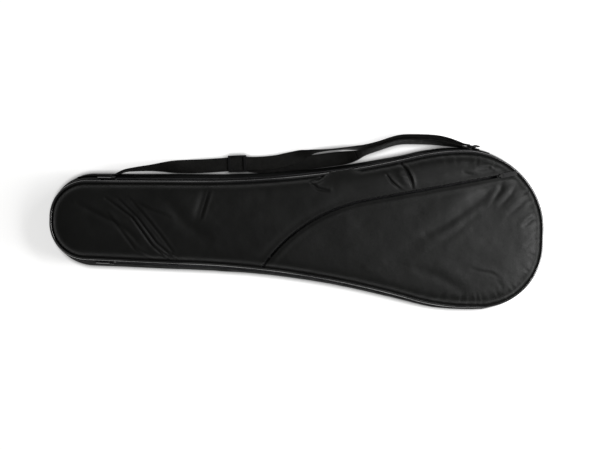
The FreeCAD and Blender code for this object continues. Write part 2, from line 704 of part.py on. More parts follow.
def rounded(route):
    """Straight runs joined by arcs as large as the runs allow."""
    parts, cursor = [], route[0]
    for before, corner, after in zip(route, route[1:], route[2:]):
        a, b = (corner - before), (after - corner)
        turn = a.getAngle(b)
        reach = 0.45 * min(a.Length, b.Length)
        radius = reach / math.tan(turn / 2)
        a.normalize()
        b.normalize()
        left = a.cross(b).z > 0
        start, finish = corner - a * reach, corner + b * reach
        side = Vector(-a.y, a.x, 0) * (1 if left else -1)
        centre = start + side * radius
        angles = [math.atan2(p.y - centre.y, p.x - centre.x) for p in (start, finish)]
        parts.append(("line", cursor, start))
        parts.append(("arc" if left else "turn", centre, radius, angles[0], angles[1]))
        print("strap bend", round(radius))
        cursor = finish
    return parts + [("line", cursor, route[-1])]


strap_strip("strap_webbing", "strap_low", STRAP_ROUTE)
adjuster_along = (STRAP_ROUTE[1] - STRAP_ROUTE[0]).normalize()
adjuster_centre = STRAP_ROUTE[0] + adjuster_along * size["adjuster_along"]
return_start = adjuster_centre + adjuster_along * size["return_along"]
strap_strip("strap_return", "return_low", [return_start] + STRAP_ROUTE[1:])


def on_strap(point, direction, height):
    """A place on the strap: its own X along the strap and Z up."""
    across = Vector(-direction.y, direction.x, 0)
    return Placement(Vector(point.x, point.y, height), Rotation(direction, across, Vector(0, 0, 1), "XZY"))


def flat_block(body, name, low, high, parts):
    """A block between two of the sheet's heights."""
    return pad(body, level_sketch(body, name, low, parts), f"Sizes.{high} - Sizes.{low}")


def adjuster(label, place):
    """A three-bar adjuster: two end bars over the strap, a middle bar under it, two side rails."""
    body = new_body(label)
    body.AllowCompound = True
    half_long, half_wide = size["adjuster_long"] / 2, size["adjuster_wide"] / 2
    rail_in = half_wide - size["adjuster_rail"]
    bar_in = half_long - size["adjuster_end_bar"]
    half_middle = size["adjuster_middle_bar"] / 2
    for index, side in enumerate((1, -1)):
        low, high = sorted((rail_in * side, half_wide * side))
        flat_block(body, f"rail{index}", "adjuster_low", "adjuster_high",
                   rectangle(-half_long, half_long, low, high))
    for index, side in enumerate((1, -1)):
        low, high = sorted((bar_in * side, half_long * side))
        flat_block(body, f"end{index}", "adjuster_end_low", "adjuster_high",
                   rectangle(low, high, -half_wide, half_wide))
    flat_block(body, "middle", "adjuster_low", "adjuster_middle_high",
               rectangle(-half_middle, half_middle, -half_wide, half_wide))
    body.Placement = place


def adjuster_loop(label, place):
    """The sewn end of the webbing, folded round the adjuster's middle bar."""
    body = new_body(label)
    body.AllowCompound = True
    half = size["webbing_wide"] / 2
    flat_block(body, "fold", "fold_low", "fold_high",
               rectangle(size["fold_begin"], size["fold_end"], -half, half))
    room = size["bar_room_long"] / 2
    sketch = level_sketch(body, "bar_room", "bar_room_high", rectangle(-room, room, -WIDE, WIDE))
    opening = body.newObject("PartDesign::Pocket", f"{label}_bar_room_cut")
    opening.Profile = sketch
    opening.setExpression("Length", "Sizes.bar_room_high - Sizes.bar_room_low")
    body.Placement = place


adjuster_place = on_strap(adjuster_centre, adjuster_along, 0.0)
adjuster("strap_adjuster", adjuster_place)
adjuster_loop("adjuster_loop", adjuster_place)

def beside_head(station, height, off):
    """A place beside the head's gusset: its own X along the gusset, Y down and Z outwards."""
    radius = between("head_radius", height) + off
    angle = math.acos((station - between("head_centre", height)) / radius)
    outward = Vector(math.cos(angle), math.sin(angle), 0)
    along = Vector(math.sin(angle), -math.cos(angle), 0)
    centre = Vector(between("head_centre", height), 0, height) + outward * radius
    return Placement(centre, Rotation(along, Vector(0, 0, -1), outward, "XZY"))


def wire_ring(label, place):
    """A rectangular wire ring with round corners, standing beside the gusset."""
    body = new_body(label)
    corner = size["ring_corner"]
    long, half = size["ring_long"], size["ring_wide"] / 2
    quarter = math.pi / 2
    stations = [(long - corner, half - corner, 0), (corner, half - corner, 1),
                (corner, corner - half, 2), (long - corner, corner - half, 3)]
    arcs = [("arc", Vector(x, y, 0), corner, turn * quarter, (turn + 1) * quarter) for x, y, turn in stations]
    joined = []
    for a, b in zip(arcs, arcs[1:] + arcs[:1]):
        leave = a[1] + Vector(math.cos(a[4]), math.sin(a[4]), 0) * corner
        arrive = b[1] + Vector(math.cos(b[3]), math.sin(b[3]), 0) * corner
        joined += [a, ("line", leave, arrive)]
    spine = sketch_on(body, "path")
    draw(spine, joined[1:] + joined[:1])
    profile = sketch_on(body, "section", "YZ_Plane")
    profile.AttachmentOffset = Placement(Vector(0, 0, long - corner), Rotation())
    profile.addGeometry(Part.Circle(Vector(half, 0, 0), Vector(0, 0, 1), size["wire_radius"]), False)
    tube_along(body, spine, profile)
    body.Placement = place


def bar_loop(label, place, station):
    """Webbing folded round one of the ring's bars."""
    body = new_body(label)
    room = size["wire_radius"] + size["wire_room"]
    sketch = sketch_on(body, "loop", "XZ_Plane")
    for radius in (room + size["webbing_thick"], room):
        sketch.addGeometry(Part.Circle(Vector(station, 0, 0), Vector(0, 0, 1), radius), False)
    ring = pad(body, sketch, "Sizes.webbing_wide - Sizes.ring_corner")
    ring.SideType = "Symmetric"
    body.Placement = place


ring_place = beside_head(size["ring_station"], size["ring_height"], size["ring_off"])
wire_ring("strap_ring", ring_place)
bar_loop("strap_ring_loop", ring_place, 0.0)
bar_loop("ring_tab", ring_place, size["ring_long"])

# ---------------------------------------------------------------- checks and files

doc.recompute()
failed = [o.Name for o in doc.Objects if {"Invalid", "Error"} & set(o.State)]
if failed:
    raise SystemExit(f"failed objects: {failed}")
for body in bodies:
    if body.Shape.isNull() or not body.Shape.isValid():
        raise SystemExit(f"bad shape: {body.Label}")
os.makedirs("parts", exist_ok=True)
for body in bodies:
    body.Shape.exportStep(f"parts/{body.Label}.step")
    box = body.Shape.optimalBoundingBox(False)
    print(body.Label, len(body.Shape.Solids), round(body.Shape.Volume),
          *(round(v, 1) for v in (box.XMin, box.XMax, box.YMin, box.YMax, box.ZMin, box.ZMax)))
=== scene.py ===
import math

import bmesh
import bpy
import numpy as np
from mathutils import Matrix, Vector


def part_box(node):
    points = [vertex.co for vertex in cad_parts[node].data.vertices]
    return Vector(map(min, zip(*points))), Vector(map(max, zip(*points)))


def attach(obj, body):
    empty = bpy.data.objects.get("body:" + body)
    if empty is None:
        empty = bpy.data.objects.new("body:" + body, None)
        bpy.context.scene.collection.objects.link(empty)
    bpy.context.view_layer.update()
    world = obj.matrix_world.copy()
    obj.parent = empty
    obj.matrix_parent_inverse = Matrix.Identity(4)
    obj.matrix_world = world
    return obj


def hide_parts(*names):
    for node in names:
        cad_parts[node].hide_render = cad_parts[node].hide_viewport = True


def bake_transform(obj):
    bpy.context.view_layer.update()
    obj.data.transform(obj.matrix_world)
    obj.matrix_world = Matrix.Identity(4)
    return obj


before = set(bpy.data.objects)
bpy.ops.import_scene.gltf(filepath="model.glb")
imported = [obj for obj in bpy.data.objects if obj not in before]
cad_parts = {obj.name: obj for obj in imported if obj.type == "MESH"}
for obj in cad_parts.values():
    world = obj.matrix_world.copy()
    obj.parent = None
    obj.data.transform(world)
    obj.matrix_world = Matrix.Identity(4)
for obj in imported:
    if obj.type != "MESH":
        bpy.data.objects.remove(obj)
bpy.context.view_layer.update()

MM = 0.001

# ---------------------------------------------------------------- places, worked out from the frame

CORD = 2.0 * MM  # the piping's radius
SHOULDER_RADIUS = 300 * MM
NECK_RADIUS = 1400 * MM
FRONT_CORNER = 53 * MM
REAR_CORNER = 66 * MM
HEAD_FULLNESS = 22 * MM  # how much tighter and further out the head's -Y corner is
STATION = -160 * MM  # where the handle's half width is taken
SLOPE = 0.02  # how fast the handle's sides spread
FRONT_LOW, FRONT_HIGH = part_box("front_piping")
END_LOW, END_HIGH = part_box("handle_end_piping")
REAR_LOW, REAR_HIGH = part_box("rear_piping")
FRONT_LEVEL = (FRONT_LOW.z + FRONT_HIGH.z) / 2
REAR_LEVEL = (REAR_LOW.z + REAR_HIGH.z) / 2
FOLD_X = (END_HIGH.x + FRONT_LOW.x) / 2
HANDLE_SPREAD = 11.7 * MM  # how much wider the rear outline is along the handle
FRONT_SHAPE = {
    "radius": FRONT_HIGH.y - CORD,
    "centre": FRONT_HIGH.x - FRONT_HIGH.y,
    "half": END_HIGH.y - CORD - SLOPE * (END_HIGH.x - STATION),
    "end": -END_LOW.x - CORD,
    "corner": FRONT_CORNER,
}
REAR_SHAPE = {
    "radius": REAR_HIGH.y - CORD,
    "centre": REAR_HIGH.x - REAR_HIGH.y,
    "half": FRONT_SHAPE["half"] + HANDLE_SPREAD,
    "end": -REAR_LOW.x - CORD,
    "corner": REAR_CORNER,
}
ZIP_LOW, ZIP_LOW_TOP = (corner.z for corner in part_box("zip_tape_lower"))
ZIP_HIGH, ZIP_HIGH_TOP = (corner.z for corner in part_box("zip_tape_upper"))
COIL_LOW, COIL_LOW_TOP = (corner.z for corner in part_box("zip_coil_lower"))
COIL_HIGH, COIL_HIGH_TOP = (corner.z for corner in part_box("zip_coil_upper"))
ZIP_END_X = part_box("zip_tape_lower")[0].x
PULL_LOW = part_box("pocket_zip_pull")[0].z
SKIN = 0.65 * MM  # thickness of the nylon
SKIN_TOP = PULL_LOW - 0.12 * MM  # the front's fabric beside the pocket zip, just under the pull


def unit(vectors):
    """The same vectors, one in each row, a unit long."""
    return vectors / np.linalg.norm(vectors, axis=1, keepdims=True)


def runs(path):
    """How far along a path each of its points lies."""
    steps = np.linalg.norm(np.diff(path, axis=0), axis=1)
    return np.concatenate([[0], np.cumsum(steps)])


def beside(values, last):
    """The same rows with one more column, one number for all of them or one for each."""
    return np.column_stack([values, np.broadcast_to(last, len(values))])


def nearest(xy, rim):
    """How far each point is from a ring of points."""
    found = np.empty(len(xy))
    for begin in range(0, len(xy), 2000):
        gaps = xy[begin:begin + 2000, None, :] - rim[None, :, :]
        found[begin:begin + 2000] = np.sqrt((gaps ** 2).sum(2).min(1))
    return found


def arc(centre, radius, begin, finish, step=1.2 * MM):
    count = max(3, int(abs(finish - begin) * radius / step))
    turn = np.linspace(begin, finish, count)
    return np.stack([centre[0] + radius * np.cos(turn), centre[1] + radius * np.sin(turn)], 1)


def half_outline(height, offset, fuller=0.0):
    """One half of the outline, from the head's tip to the middle of the handle end.

    fuller moves the head's corner out: a tighter arc between two short straight runs."""
    share = (height - REAR_LEVEL) / (FRONT_LEVEL - REAR_LEVEL)
    s = {k: REAR_SHAPE[k] + (FRONT_SHAPE[k] - REAR_SHAPE[k]) * share for k in FRONT_SHAPE}
    length = math.hypot(1, SLOPE)
    along = np.array([1, SLOPE]) / length
    out = np.array([-SLOPE, 1]) / length
    start = np.array([STATION, s["half"]])
    shoulder = np.array([s["centre"], s["radius"] - SHOULDER_RADIUS])
    foot = start + out * NECK_RADIUS - shoulder
    reach = SHOULDER_RADIUS + NECK_RADIUS
    run = -foot @ along - math.sqrt((foot @ along) ** 2 - foot @ foot + reach ** 2)
    neck = shoulder + foot + along * run
    inward = start - out * s["corner"]
    corner = inward + along * ((s["corner"] - s["end"] - inward[0]) / along[0])
    at_neck = math.atan2(neck[1] - shoulder[1], neck[0] - shoulder[0])
    normal = math.atan2(out[1], out[0])
    quarter = math.pi / 2
    reach = s["radius"] + offset
    head = arc((s["centre"] + fuller, fuller), reach - fuller, 0, quarter)
    if fuller:
        steps = np.linspace(0, fuller, 19)[:-1, None]
        rising = [s["centre"] + reach, 0] + steps * [0, 1]
        falling = [s["centre"], reach] + steps[::-1] * [1, 0]
        head = np.concatenate([rising, head, falling])
    return np.concatenate([
        head,
        arc(shoulder, SHOULDER_RADIUS + offset, quarter, at_neck),
        arc(neck, NECK_RADIUS - offset, at_neck - math.pi, normal - math.pi),
        arc(corner, s["corner"] + offset, normal, math.pi),
        [[-s["end"] - offset, 0.0]],
    ])


def outline(height, offset, count):
    """Evenly spaced points all round, from the middle of the handle end by the -Y side to the head."""
    half = half_outline(height, offset)
    lower = half_outline(height, offset, HEAD_FULLNESS)[::-1] * [1, -1]
    loop = np.concatenate([lower, half[1:-1]])
    closed = np.concatenate([loop, loop[:1]])
    steps = np.linalg.norm(np.diff(closed, axis=0), axis=1)
    keep = np.concatenate([[True], steps > 1e-7])
    closed = closed[keep]
    distance = runs(closed)
    at = np.arange(count) / count * distance[-1]
    return np.stack([np.interp(at, distance, closed[:, k]) for k in (0, 1)], 1)


RIM_POINTS = 1400
RIM = outline(FRONT_LEVEL, 0.0, RIM_POINTS)


def rim_distance(xy):
    """How far inside the front's outline each point lies."""
    return nearest(xy, RIM)


# The pocket zip's line, from the CAD pieces that lie on it.
LINE_ANGLE = math.radians(11.7)
LINE_ALONG = np.array([math.cos(LINE_ANGLE), math.sin(LINE_ANGLE)])
LINE_ACROSS = np.array([-math.sin(LINE_ANGLE), math.cos(LINE_ANGLE)])
LINE_START = np.array([103, 40]) * MM
LINE_CURVE = 240 * MM
LINE_CENTRE = LINE_START - LINE_ACROSS * LINE_CURVE


def line_side(xy):
    """Signed distance from the pocket zip's line: below zero is the pocket's side."""
    rel = xy - LINE_START
    straight = rel @ LINE_ACROSS
    curved = np.linalg.norm(xy - LINE_CENTRE, axis=1) - LINE_CURVE
    return np.where(rel @ LINE_ALONG > 0, straight, curved)


def line_point(run, side=0.0):
    """A point on the pocket zip's line: run is measured from where it turns straight."""
    run = np.asarray(run, float)
    straight = LINE_START + np.outer(run, LINE_ALONG) + LINE_ACROSS * side
    turn = math.pi / 2 + LINE_ANGLE - run / LINE_CURVE
    curved = LINE_CENTRE + np.stack([np.cos(turn), np.sin(turn)], 1) * (LINE_CURVE + side)
    return np.where((run > 0)[:, None], straight, curved)


# ---------------------------------------------------------------- the front's shape

def smooth_noise(x, y, scale, seed):
    """Soft random hills, between -1 and 1."""
    grid = np.random.default_rng(seed).random((97, 97)) * 2 - 1
    u, v = x / scale + 40.3, y / scale + 40.7
    i, j = np.floor(u).astype(int), np.floor(v).astype(int)
    a, b = u - i, v - j
    a, b = a * a * (3 - 2 * a), b * b * (3 - 2 * b)

    def at(p, q):
        return grid[p % 97, q % 97]

    low = at(i, j) * (1 - a) + at(i + 1, j) * a
    high = at(i, j + 1) * (1 - a) + at(i + 1, j + 1) * a
    return low * (1 - b) + high * b


def crease(x, y, route, width, depth, ridge=0.0):
    """A fold along a route: a valley with a ridge on its left, fading at both ends."""
    route = np.array(route) * MM
    width, depth, ridge = width * MM, depth * MM, ridge * MM
    points = np.stack([x, y], 1)
    best = np.full(len(x), 1e9)
    side = np.zeros(len(x))
    place = np.zeros(len(x))
    lengths = np.linalg.norm(np.diff(route, axis=0), axis=1)
    total, done = lengths.sum(), 0.0
    for a, b, length in zip(route, route[1:], lengths):
        d = (b - a) / length
        run = np.clip((points - a) @ d, 0, length)
        gap = points - a - np.outer(run, d)
        far = np.linalg.norm(gap, axis=1)
        nearer = far < best
        best = np.where(nearer, far, best)
        side = np.where(nearer, np.sign(d[0] * gap[:, 1] - d[1] * gap[:, 0]), side)
        place = np.where(nearer, (done + run) / total, place)
        done += length
    fade = np.sin(np.pi * np.clip(0.06 + 0.88 * place, 0, 1)) ** 0.6
    signed = best * side
    valley = -depth * np.exp(-(best / width) ** 2)
    bank = ridge * np.exp(-((signed - 2.2 * width) / (1.6 * width)) ** 2)
    return (valley + bank) * fade


CREASES = (
    # (route, width, depth, height of the bank on its left), in millimetres
    # the stitched dart and its smaller neighbour, between the piping and the pocket zip
    (((152, 100), (163, 86), (169, 74), (172, 60), (172, 56)), 1.4, 5.6, 1.8),
    (((132, 79), (141, 68), (151, 60), (159, 55)), 1.1, 4.2, 1.5),
    (((137, 80), (150, 76), (164, 74)), 1.0, 0.9, 0.4),
    (((150, 92), (153, 80), (160, 70), (166, 62)), 5.0, -1.4, 0.0),
    # the bulge under the front piping and the creases that run out of it
    (((40, 74), (58, 79), (88, 80)), 4.0, -1.8, 0.0),
    (((48, 84), (40, 77), (30, 69), (20, 66)), 1.8, 5.2, 1.6),
    (((20, 64), (30, 56), (46, 53)), 1.7, 3.2, 1.2),
    # the straight stitched fold of the handle's part
    (((-131, 51), (-137, 30), (-143, 8)), 1.6, 1.8, 0.9),
    (((-137, 51), (-143, 30), (-149, 8)), 6.0, 1.8, 0.0),
    # the bundle of slanting wrinkles near the handle end
    (((-286, 34), (-246, 6), (-216, -34), (-186, -60)), 1.5, 2.6, 1.2),
    (((-268, 34), (-236, 4), (-208, -32), (-178, -56)), 1.3, 2.0, 1.0),
    (((-250, 34), (-226, 8), (-204, -18), (-184, -44)), 1.5, 1.3, 0.8),
    (((-284, 12), (-262, -14), (-240, -42), (-214, -58)), 2.0, 1.2, 0.8),
    (((-328, 24), (-290, 6), (-262, -8), (-240, -26)), 3.4, 1.8, 1.0),
    (((-244, 30), (-220, 18), (-190, 8)), 2.2, 1.0, 0.6),
    (((-190, 22), (-166, -4), (-130, -22)), 8.0, 1.3, 0.4),
    (((-226, 44), (-190, 30), (-150, -12)), 8.0, 0.9, 0.3),
    # soft folds of the pocket
    (((196, -6), (226, 10), (262, 38), (298, 66)), 9.0, 2.6, 0.9),
    (((206, -26), (240, -2), (276, 30)), 6.0, 0.8, 0.8),
    (((292, 44), (303, 60), (306, 74)), 3.4, 1.2, 0.5),
    (((304, 38), (318, 54), (326, 68)), 3.2, 0.9, 0.5),
    (((318, 26), (334, 40), (346, 54)), 3.4, 0.8, 0.5),
    (((340, 8), (351, 18), (360, 30)), 2.8, 1.2, 0.7),
    (((344, -22), (356, -12), (364, -2)), 3.0, 0.8, 0.5),
    (((262, -58), (276, -62), (292, -64), (306, -72)), 2.4, 0.5, 0.3),
    (((300, -74), (308, -82), (312, -96)), 2.6, 0.3, 0.2),
    (((180, -60), (214, -72), (250, -92)), 8.0, 1.0, 0.4),
    (((168, 55), (180, 50), (190, 52), (199, 60)), 1.8, 1.4, 0.7),
    (((248, 84), (262, 80), (276, 78)), 2.6, 1.6, 0.8),
    (((270, 90), (284, 92), (296, 84)), 2.6, 1.4, 0.9),
)


GROOVE = 2.5 * MM  # the seam's width between the piping's middle and the rising fabric
GROOVE_DEPTH = 0.5 * MM
RIM_RISE = 5.5 * MM  # how soon the fabric rises beside the groove
CROWN_REACH = 30 * MM  # how soon the padding swells inside the rim
SWELL = 1.4 * MM
ZIP_CALM = 12 * MM  # half width of the strip along the pocket zip that stays smooth
TURNED_EDGE = 4.9 * MM  # from the pocket zip's line to where the fabric beside it starts to fold or dip


def front_height(xy, pocket):
    """Height of the front's fabric, on the pocket's piece or on the other one."""
    x, y = xy[:, 0], xy[:, 1]
    inside = rim_distance(xy)
    side = line_side(xy)
    rise = 1 - np.exp(-(np.maximum(inside - GROOVE, 0) / RIM_RISE) ** 1.1)
    height = FRONT_LEVEL - GROOVE_DEPTH + (SKIN_TOP - FRONT_LEVEL + GROOVE_DEPTH) * rise
    crown = 1 - np.exp(-(inside / CROWN_REACH) ** 2)
    away = 1 - np.exp(-(np.abs(side) / ZIP_CALM) ** 2)
    swell = SWELL * crown
    swell += (1.1 * smooth_noise(x, y, 62 * MM, 3) + 0.45 * smooth_noise(x, y, 27 * MM, 4)) * MM * crown
    swell += 0.16 * smooth_noise(x, y, 11 * MM, 5) * MM * rise
    angle = np.arctan2(y, x - FRONT_SHAPE["centre"])
    head = np.clip((x - 150 * MM) / (120 * MM), 0, 1)
    pucker = smooth_noise(angle * 120 * MM * 1.9, x * 0.35, 8.5 * MM, 9)
    swell += (0.35 + 0.75 * head) * MM * pucker * np.exp(-((inside - 9 * MM) / (8 * MM)) ** 2)
    for route, width, depth, ridge in CREASES:
        swell += crease(x, y, route, width, depth, ridge)
    height += swell * away * np.clip(inside / (5 * MM), 0, 1)
    if pocket:
        fold = np.clip((-side - TURNED_EDGE) / (1.6 * MM), 0, 1) * np.clip((14 * MM + side) / (6 * MM), 0, 1)
        height += 0.9 * MM * fold * rise
    else:
        dip = np.exp(-((side - 9 * MM) / (5 * MM)) ** 2)
        height -= 0.5 * MM * dip * rise * np.clip((side - TURNED_EDGE) / (2 * MM), 0, 1)
    return height


# ---------------------------------------------------------------- mesh makers

def set_uvs(mesh, uvs):
    """Gives each corner of a mesh the UV of its point."""
    layer = mesh.uv_layers.new(name="UVMap")
    index = np.empty(len(mesh.loops), int)
    mesh.loops.foreach_get("vertex_index", index)
    layer.data.foreach_set("uv", np.asarray(uvs, float)[index].ravel())


def new_mesh(name, verts, faces, uvs=None, smooth=True):
    """A piece from points, faces and, if given, one UV for each point."""
    mesh = bpy.data.meshes.new(name)
    mesh.from_pydata([tuple(v) for v in verts], [], [tuple(f) for f in faces])
    mesh.validate()
    if uvs is not None:
        set_uvs(mesh, uvs)
    if smooth:
        mesh.shade_smooth()
    piece = bpy.data.objects.new(name, mesh)
    bpy.context.scene.collection.objects.link(piece)
    return piece


def grid_faces(rows, columns, closed):
    """Quads of a grid whose points are stored row by row; closed joins the last column to the first."""
    r, c = np.meshgrid(np.arange(rows - 1), np.arange(columns if closed else columns - 1), indexing="ij")
    n = (c + 1) % columns
    return np.stack([r * columns + c, r * columns + n, (r + 1) * columns + n, (r + 1) * columns + c],
                    2).reshape(-1, 4)


def band_faces(sides, count, closed=False):
    """Quads between the sides of a band, whose points are stored side by side along its length."""
    faces = []
    i = np.arange(count if closed else count - 1)
    j = (i + 1) % count
    for k in range(sides):
        other = (k + 1) % sides
        faces.append(np.stack([k * count + i, other * count + i, other * count + j, k * count + j], 1))
    return np.concatenate(faces)


def thicken(piece, thickness, offset=-1.0, rim=True):
    m = piece.modifiers.new("thickness", "SOLIDIFY")
    m.thickness = thickness
    m.offset = offset
    m.use_rim = rim
    m.use_even_offset = False
    return piece


def cut_mesh(piece, measure):
    """Cuts a mesh where a measure of its points is zero, and keeps the side where it is above zero."""
    bm = bmesh.new()
    bm.from_mesh(piece.data)
    bm.verts.ensure_lookup_table()
    values = measure(np.array([v.co[:] for v in bm.verts]))
    value = {v: float(a) for v, a in zip(bm.verts, values)}
    made = set()
    for edge in [e for e in bm.edges if value[e.verts[0]] * value[e.verts[1]] < 0]:
        a, b = edge.verts
        share = value[a] / (value[a] - value[b])
        fresh = bmesh.utils.edge_split(edge, a, share)[1]
        value[fresh] = 0.0
        made.add(fresh)
    for face in list(bm.faces):
        ends = [v for v in face.verts if v in made]
        if len(ends) == 2 and not any(set(ends) == set(e.verts) for e in face.edges):
            bmesh.utils.face_split(face, ends[0], ends[1])
    gone = [f for f in bm.faces if sum(value[v] for v in f.verts) < 0]
    bmesh.ops.delete(bm, geom=gone, context="FACES")
    bm.to_mesh(piece.data)
    bm.free()
    piece.data.shade_smooth()


def face_out(piece, upward=False):
    """Makes the faces agree on their outside; upward turns an open sheet's outside up."""
    bm = bmesh.new()
    bm.from_mesh(piece.data)
    bmesh.ops.recalc_face_normals(bm, faces=bm.faces)
    if upward and sum(f.normal.z for f in bm.faces) < 0:
        bmesh.ops.reverse_faces(bm, faces=bm.faces)
    bm.to_mesh(piece.data)
    bm.free()


def points_of(piece):
    co = np.empty(len(piece.data.vertices) * 3)
    piece.data.vertices.foreach_get("co", co)
    return co.reshape(-1, 3)


def set_points(piece, co):
    piece.data.vertices.foreach_set("co", co.ravel())
    piece.data.update()
    return piece


def around(count, low_x=None):
    """The columns of a ring beyond a station, or all of them, and whether they close the ring."""
    ring = outline(FRONT_LEVEL, 0.0, count)
    if low_x is None:
        return np.arange(count), True
    return np.flatnonzero(ring[:, 0] >= low_x), False


def wall(name, rows, count, low_x=None, ripple=0.0, seed=1):
    """A strip of wall round the bag. rows are (height, distance outwards from the outline)."""
    chosen, closed = around(count, low_x)
    length = np.linalg.norm(np.diff(outline(FRONT_LEVEL, 0.0, count), axis=0), axis=1).mean()
    verts, uvs = [], []
    up = 0.0
    for number, (height, offset) in enumerate(rows):
        if number:
            up += math.hypot(height - rows[number - 1][0], offset - rows[number - 1][1])
        run = chosen * length
        whole = outline(height, offset, count)
        middle = math.sin(math.pi * number / (len(rows) - 1))
        push = ripple * middle * (smooth_noise(run, run * 0 + up * 1.6, 26 * MM, seed)
                                  + 0.5 * smooth_noise(run, run * 0 + up * 2.4, 11 * MM, seed + 1))
        tangent = unit(whole[np.roll(chosen, -1)] - whole[np.roll(chosen, 1)])
        out = np.stack([tangent[:, 1], -tangent[:, 0]], 1)
        if not closed:
            push[[0, -1]] = 0
        xy = whole[chosen] + out * push[:, None]
        verts.append(beside(xy, height))
        uvs.append(beside(run, up))
    faces = grid_faces(len(rows), len(chosen), closed)
    return new_mesh(name, np.concatenate(verts), faces, np.concatenate(uvs))


def tube(name, path, radius, sides=10, closed=False, crimp=0.0, seed=2):
    """A round cord along a path of points, with small crimps in its cover."""
    path = np.asarray(path, float)
    count = len(path)
    ahead, behind = np.roll(path, -1, 0), np.roll(path, 1, 0)
    if not closed:
        ahead[-1], behind[0] = path[-1], path[0]
    tangent = unit(ahead - behind)
    out = unit(np.cross(tangent, [0, 0, 1.0]))
    up = np.cross(out, tangent)
    run = runs(path)
    verts, uvs = [], []
    for k in range(sides):
        turn = 2 * math.pi * k / sides
        swell = radius * (1 + crimp * smooth_noise(run, run * 0 + turn * 2 * MM, 3.4 * MM, seed))
        ring = path + (out * math.cos(turn) + up * math.sin(turn)) * swell[:, None]
        verts.append(ring)
        uvs.append(beside(run, turn * radius))
    verts, uvs = np.concatenate(verts), np.concatenate(uvs)
    faces = list(band_faces(sides, count, closed)[:, [0, 3, 2, 1]])
    if not closed:
        faces.append(tuple(k * count for k in range(sides)))
        faces.append(tuple((sides - 1 - k) * count + count - 1 for k in range(sides)))
    return new_mesh(name, verts, faces, uvs)


def spline(points, step=2.0 * MM):
    """A smooth line through points, evenly resampled; extra columns ride along."""
    p = np.asarray(points, float)
    p = np.concatenate([2 * p[:1] - p[1:2], p, 2 * p[-1:] - p[-2:-1]])
    out = []
    for a, b, c, d in zip(p, p[1:], p[2:], p[3:]):
        t = np.linspace(0, 1, 24, endpoint=False)[:, None]
        out.append(0.5 * (2 * b + (c - a) * t + (2 * a - 5 * b + 4 * c - d) * t ** 2
                          + (3 * b - a - 3 * c + d) * t ** 3))
    line = np.concatenate(out + [p[-2:-1]])
    distance = runs(line[:, :3])
    at = np.linspace(0, distance[-1], max(4, int(distance[-1] / step)))
    return np.stack([np.interp(at, distance, line[:, k]) for k in range(line.shape[1])], 1)


def stitches(name, path, up, length=2.9 * MM, gap=1.3 * MM, radius=0.19 * MM):
    """A row of thread stitches along a path on fabric; up is one direction, or one for each point."""
    path = np.asarray(path, float)
    distance = runs(path)
    begin = np.arange(gap, distance[-1] - length, length + gap)
    ups = np.broadcast_to(np.asarray(up, float), path.shape)
    verts, faces = [], []
    profile = ((0.0, -0.6, 0.35), (0.16, 0.35, 0.9), (0.5, 0.75, 1.0), (0.84, 0.35, 0.9), (1.0, -0.6, 0.35))
    turns = (0, math.pi / 3, 2 * math.pi / 3, math.pi, 4.2, 5.2)
    sides, last = len(turns), (len(profile) - 1) * len(turns)
    for start in begin:
        rings = []
        for share, lift, wide in profile:
            at = start + share * length
            centre = np.array([np.interp(at, distance, path[:, k]) for k in range(3)])
            u = np.array([np.interp(at, distance, ups[:, k]) for k in range(3)])
            d = np.array([np.interp(at + 0.4 * MM, distance, path[:, k]) for k in range(3)]) - centre
            d /= max(np.linalg.norm(d), 1e-9)
            side = np.cross(u, d)
            centre = centre + u * lift * radius
            rings.append([centre + (side * math.cos(t) + u * math.sin(t)) * radius * wide for t in turns])
        base = len(verts)
        for ring in rings:
            verts.extend(ring)
        for row in range(base, base + last, sides):
            for k in range(sides):
                n = (k + 1) % sides
                faces.append((row + k, row + n, row + sides + n, row + sides + k))
        faces.append(tuple(base + k for k in reversed(range(sides))))
        faces.append(tuple(base + last + k for k in range(sides)))
    return new_mesh(name, verts, faces)


# ---------------------------------------------------------------- materials

def material(name):
    """A new material, its nodes and its Principled node."""
    made = bpy.data.materials.new(name)
    made.use_nodes = True
    tree = made.node_tree
    return made, tree, tree.nodes["Principled BSDF"]


def feed(tree, made, inputs):
    """Sets a node's inputs by name or place, each to a value, a colour or another node's output."""
    for place, value in inputs.items():
        if isinstance(value, bpy.types.NodeSocket):
            tree.links.new(value, made.inputs[place])
        elif isinstance(value, tuple):
            made.inputs[place].default_value = (*value, 1.0)
        else:
            made.inputs[place].default_value = value


def node(tree, kind, inputs=None, **properties):
    made = tree.nodes.new("ShaderNode" + kind)
    for key, value in properties.items():
        setattr(made, key, value)
    feed(tree, made, inputs or {})
    return made


def coordinates(tree, from_uv=True):
    """The piece's own coordinates in metres."""
    return node(tree, "TexCoord").outputs["UV" if from_uv else "Object"]


def maths(tree, kind, a, b):
    return node(tree, "Math", {0: a, 1: b}, operation=kind).outputs[0]


def ribs(tree, vector, axis, pitch):
    """Ridges across one axis, from -1 to 1."""
    place = node(tree, "SeparateXYZ", {0: vector}).outputs[axis]
    return maths(tree, "SINE", maths(tree, "MULTIPLY", place, 2 * math.pi / pitch), 0.0)


def noise(tree, vector, size_mm, detail=2.0, rough=0.5):
    inputs = {"Vector": vector, "Scale": 1000.0 / size_mm, "Detail": detail, "Roughness": rough}
    return node(tree, "TexNoise", inputs).outputs["Fac"]


def spread(tree, value, low, high, from_low=0.3, from_high=0.7):
    inputs = {"Value": value, "From Min": from_low, "From Max": from_high, "To Min": low, "To Max": high}
    return node(tree, "MapRange", inputs).outputs["Result"]


def mix_colour(tree, factor, low, high):
    return node(tree, "Mix", {0: factor, 6: low, 7: high}, data_type="RGBA").outputs[2]


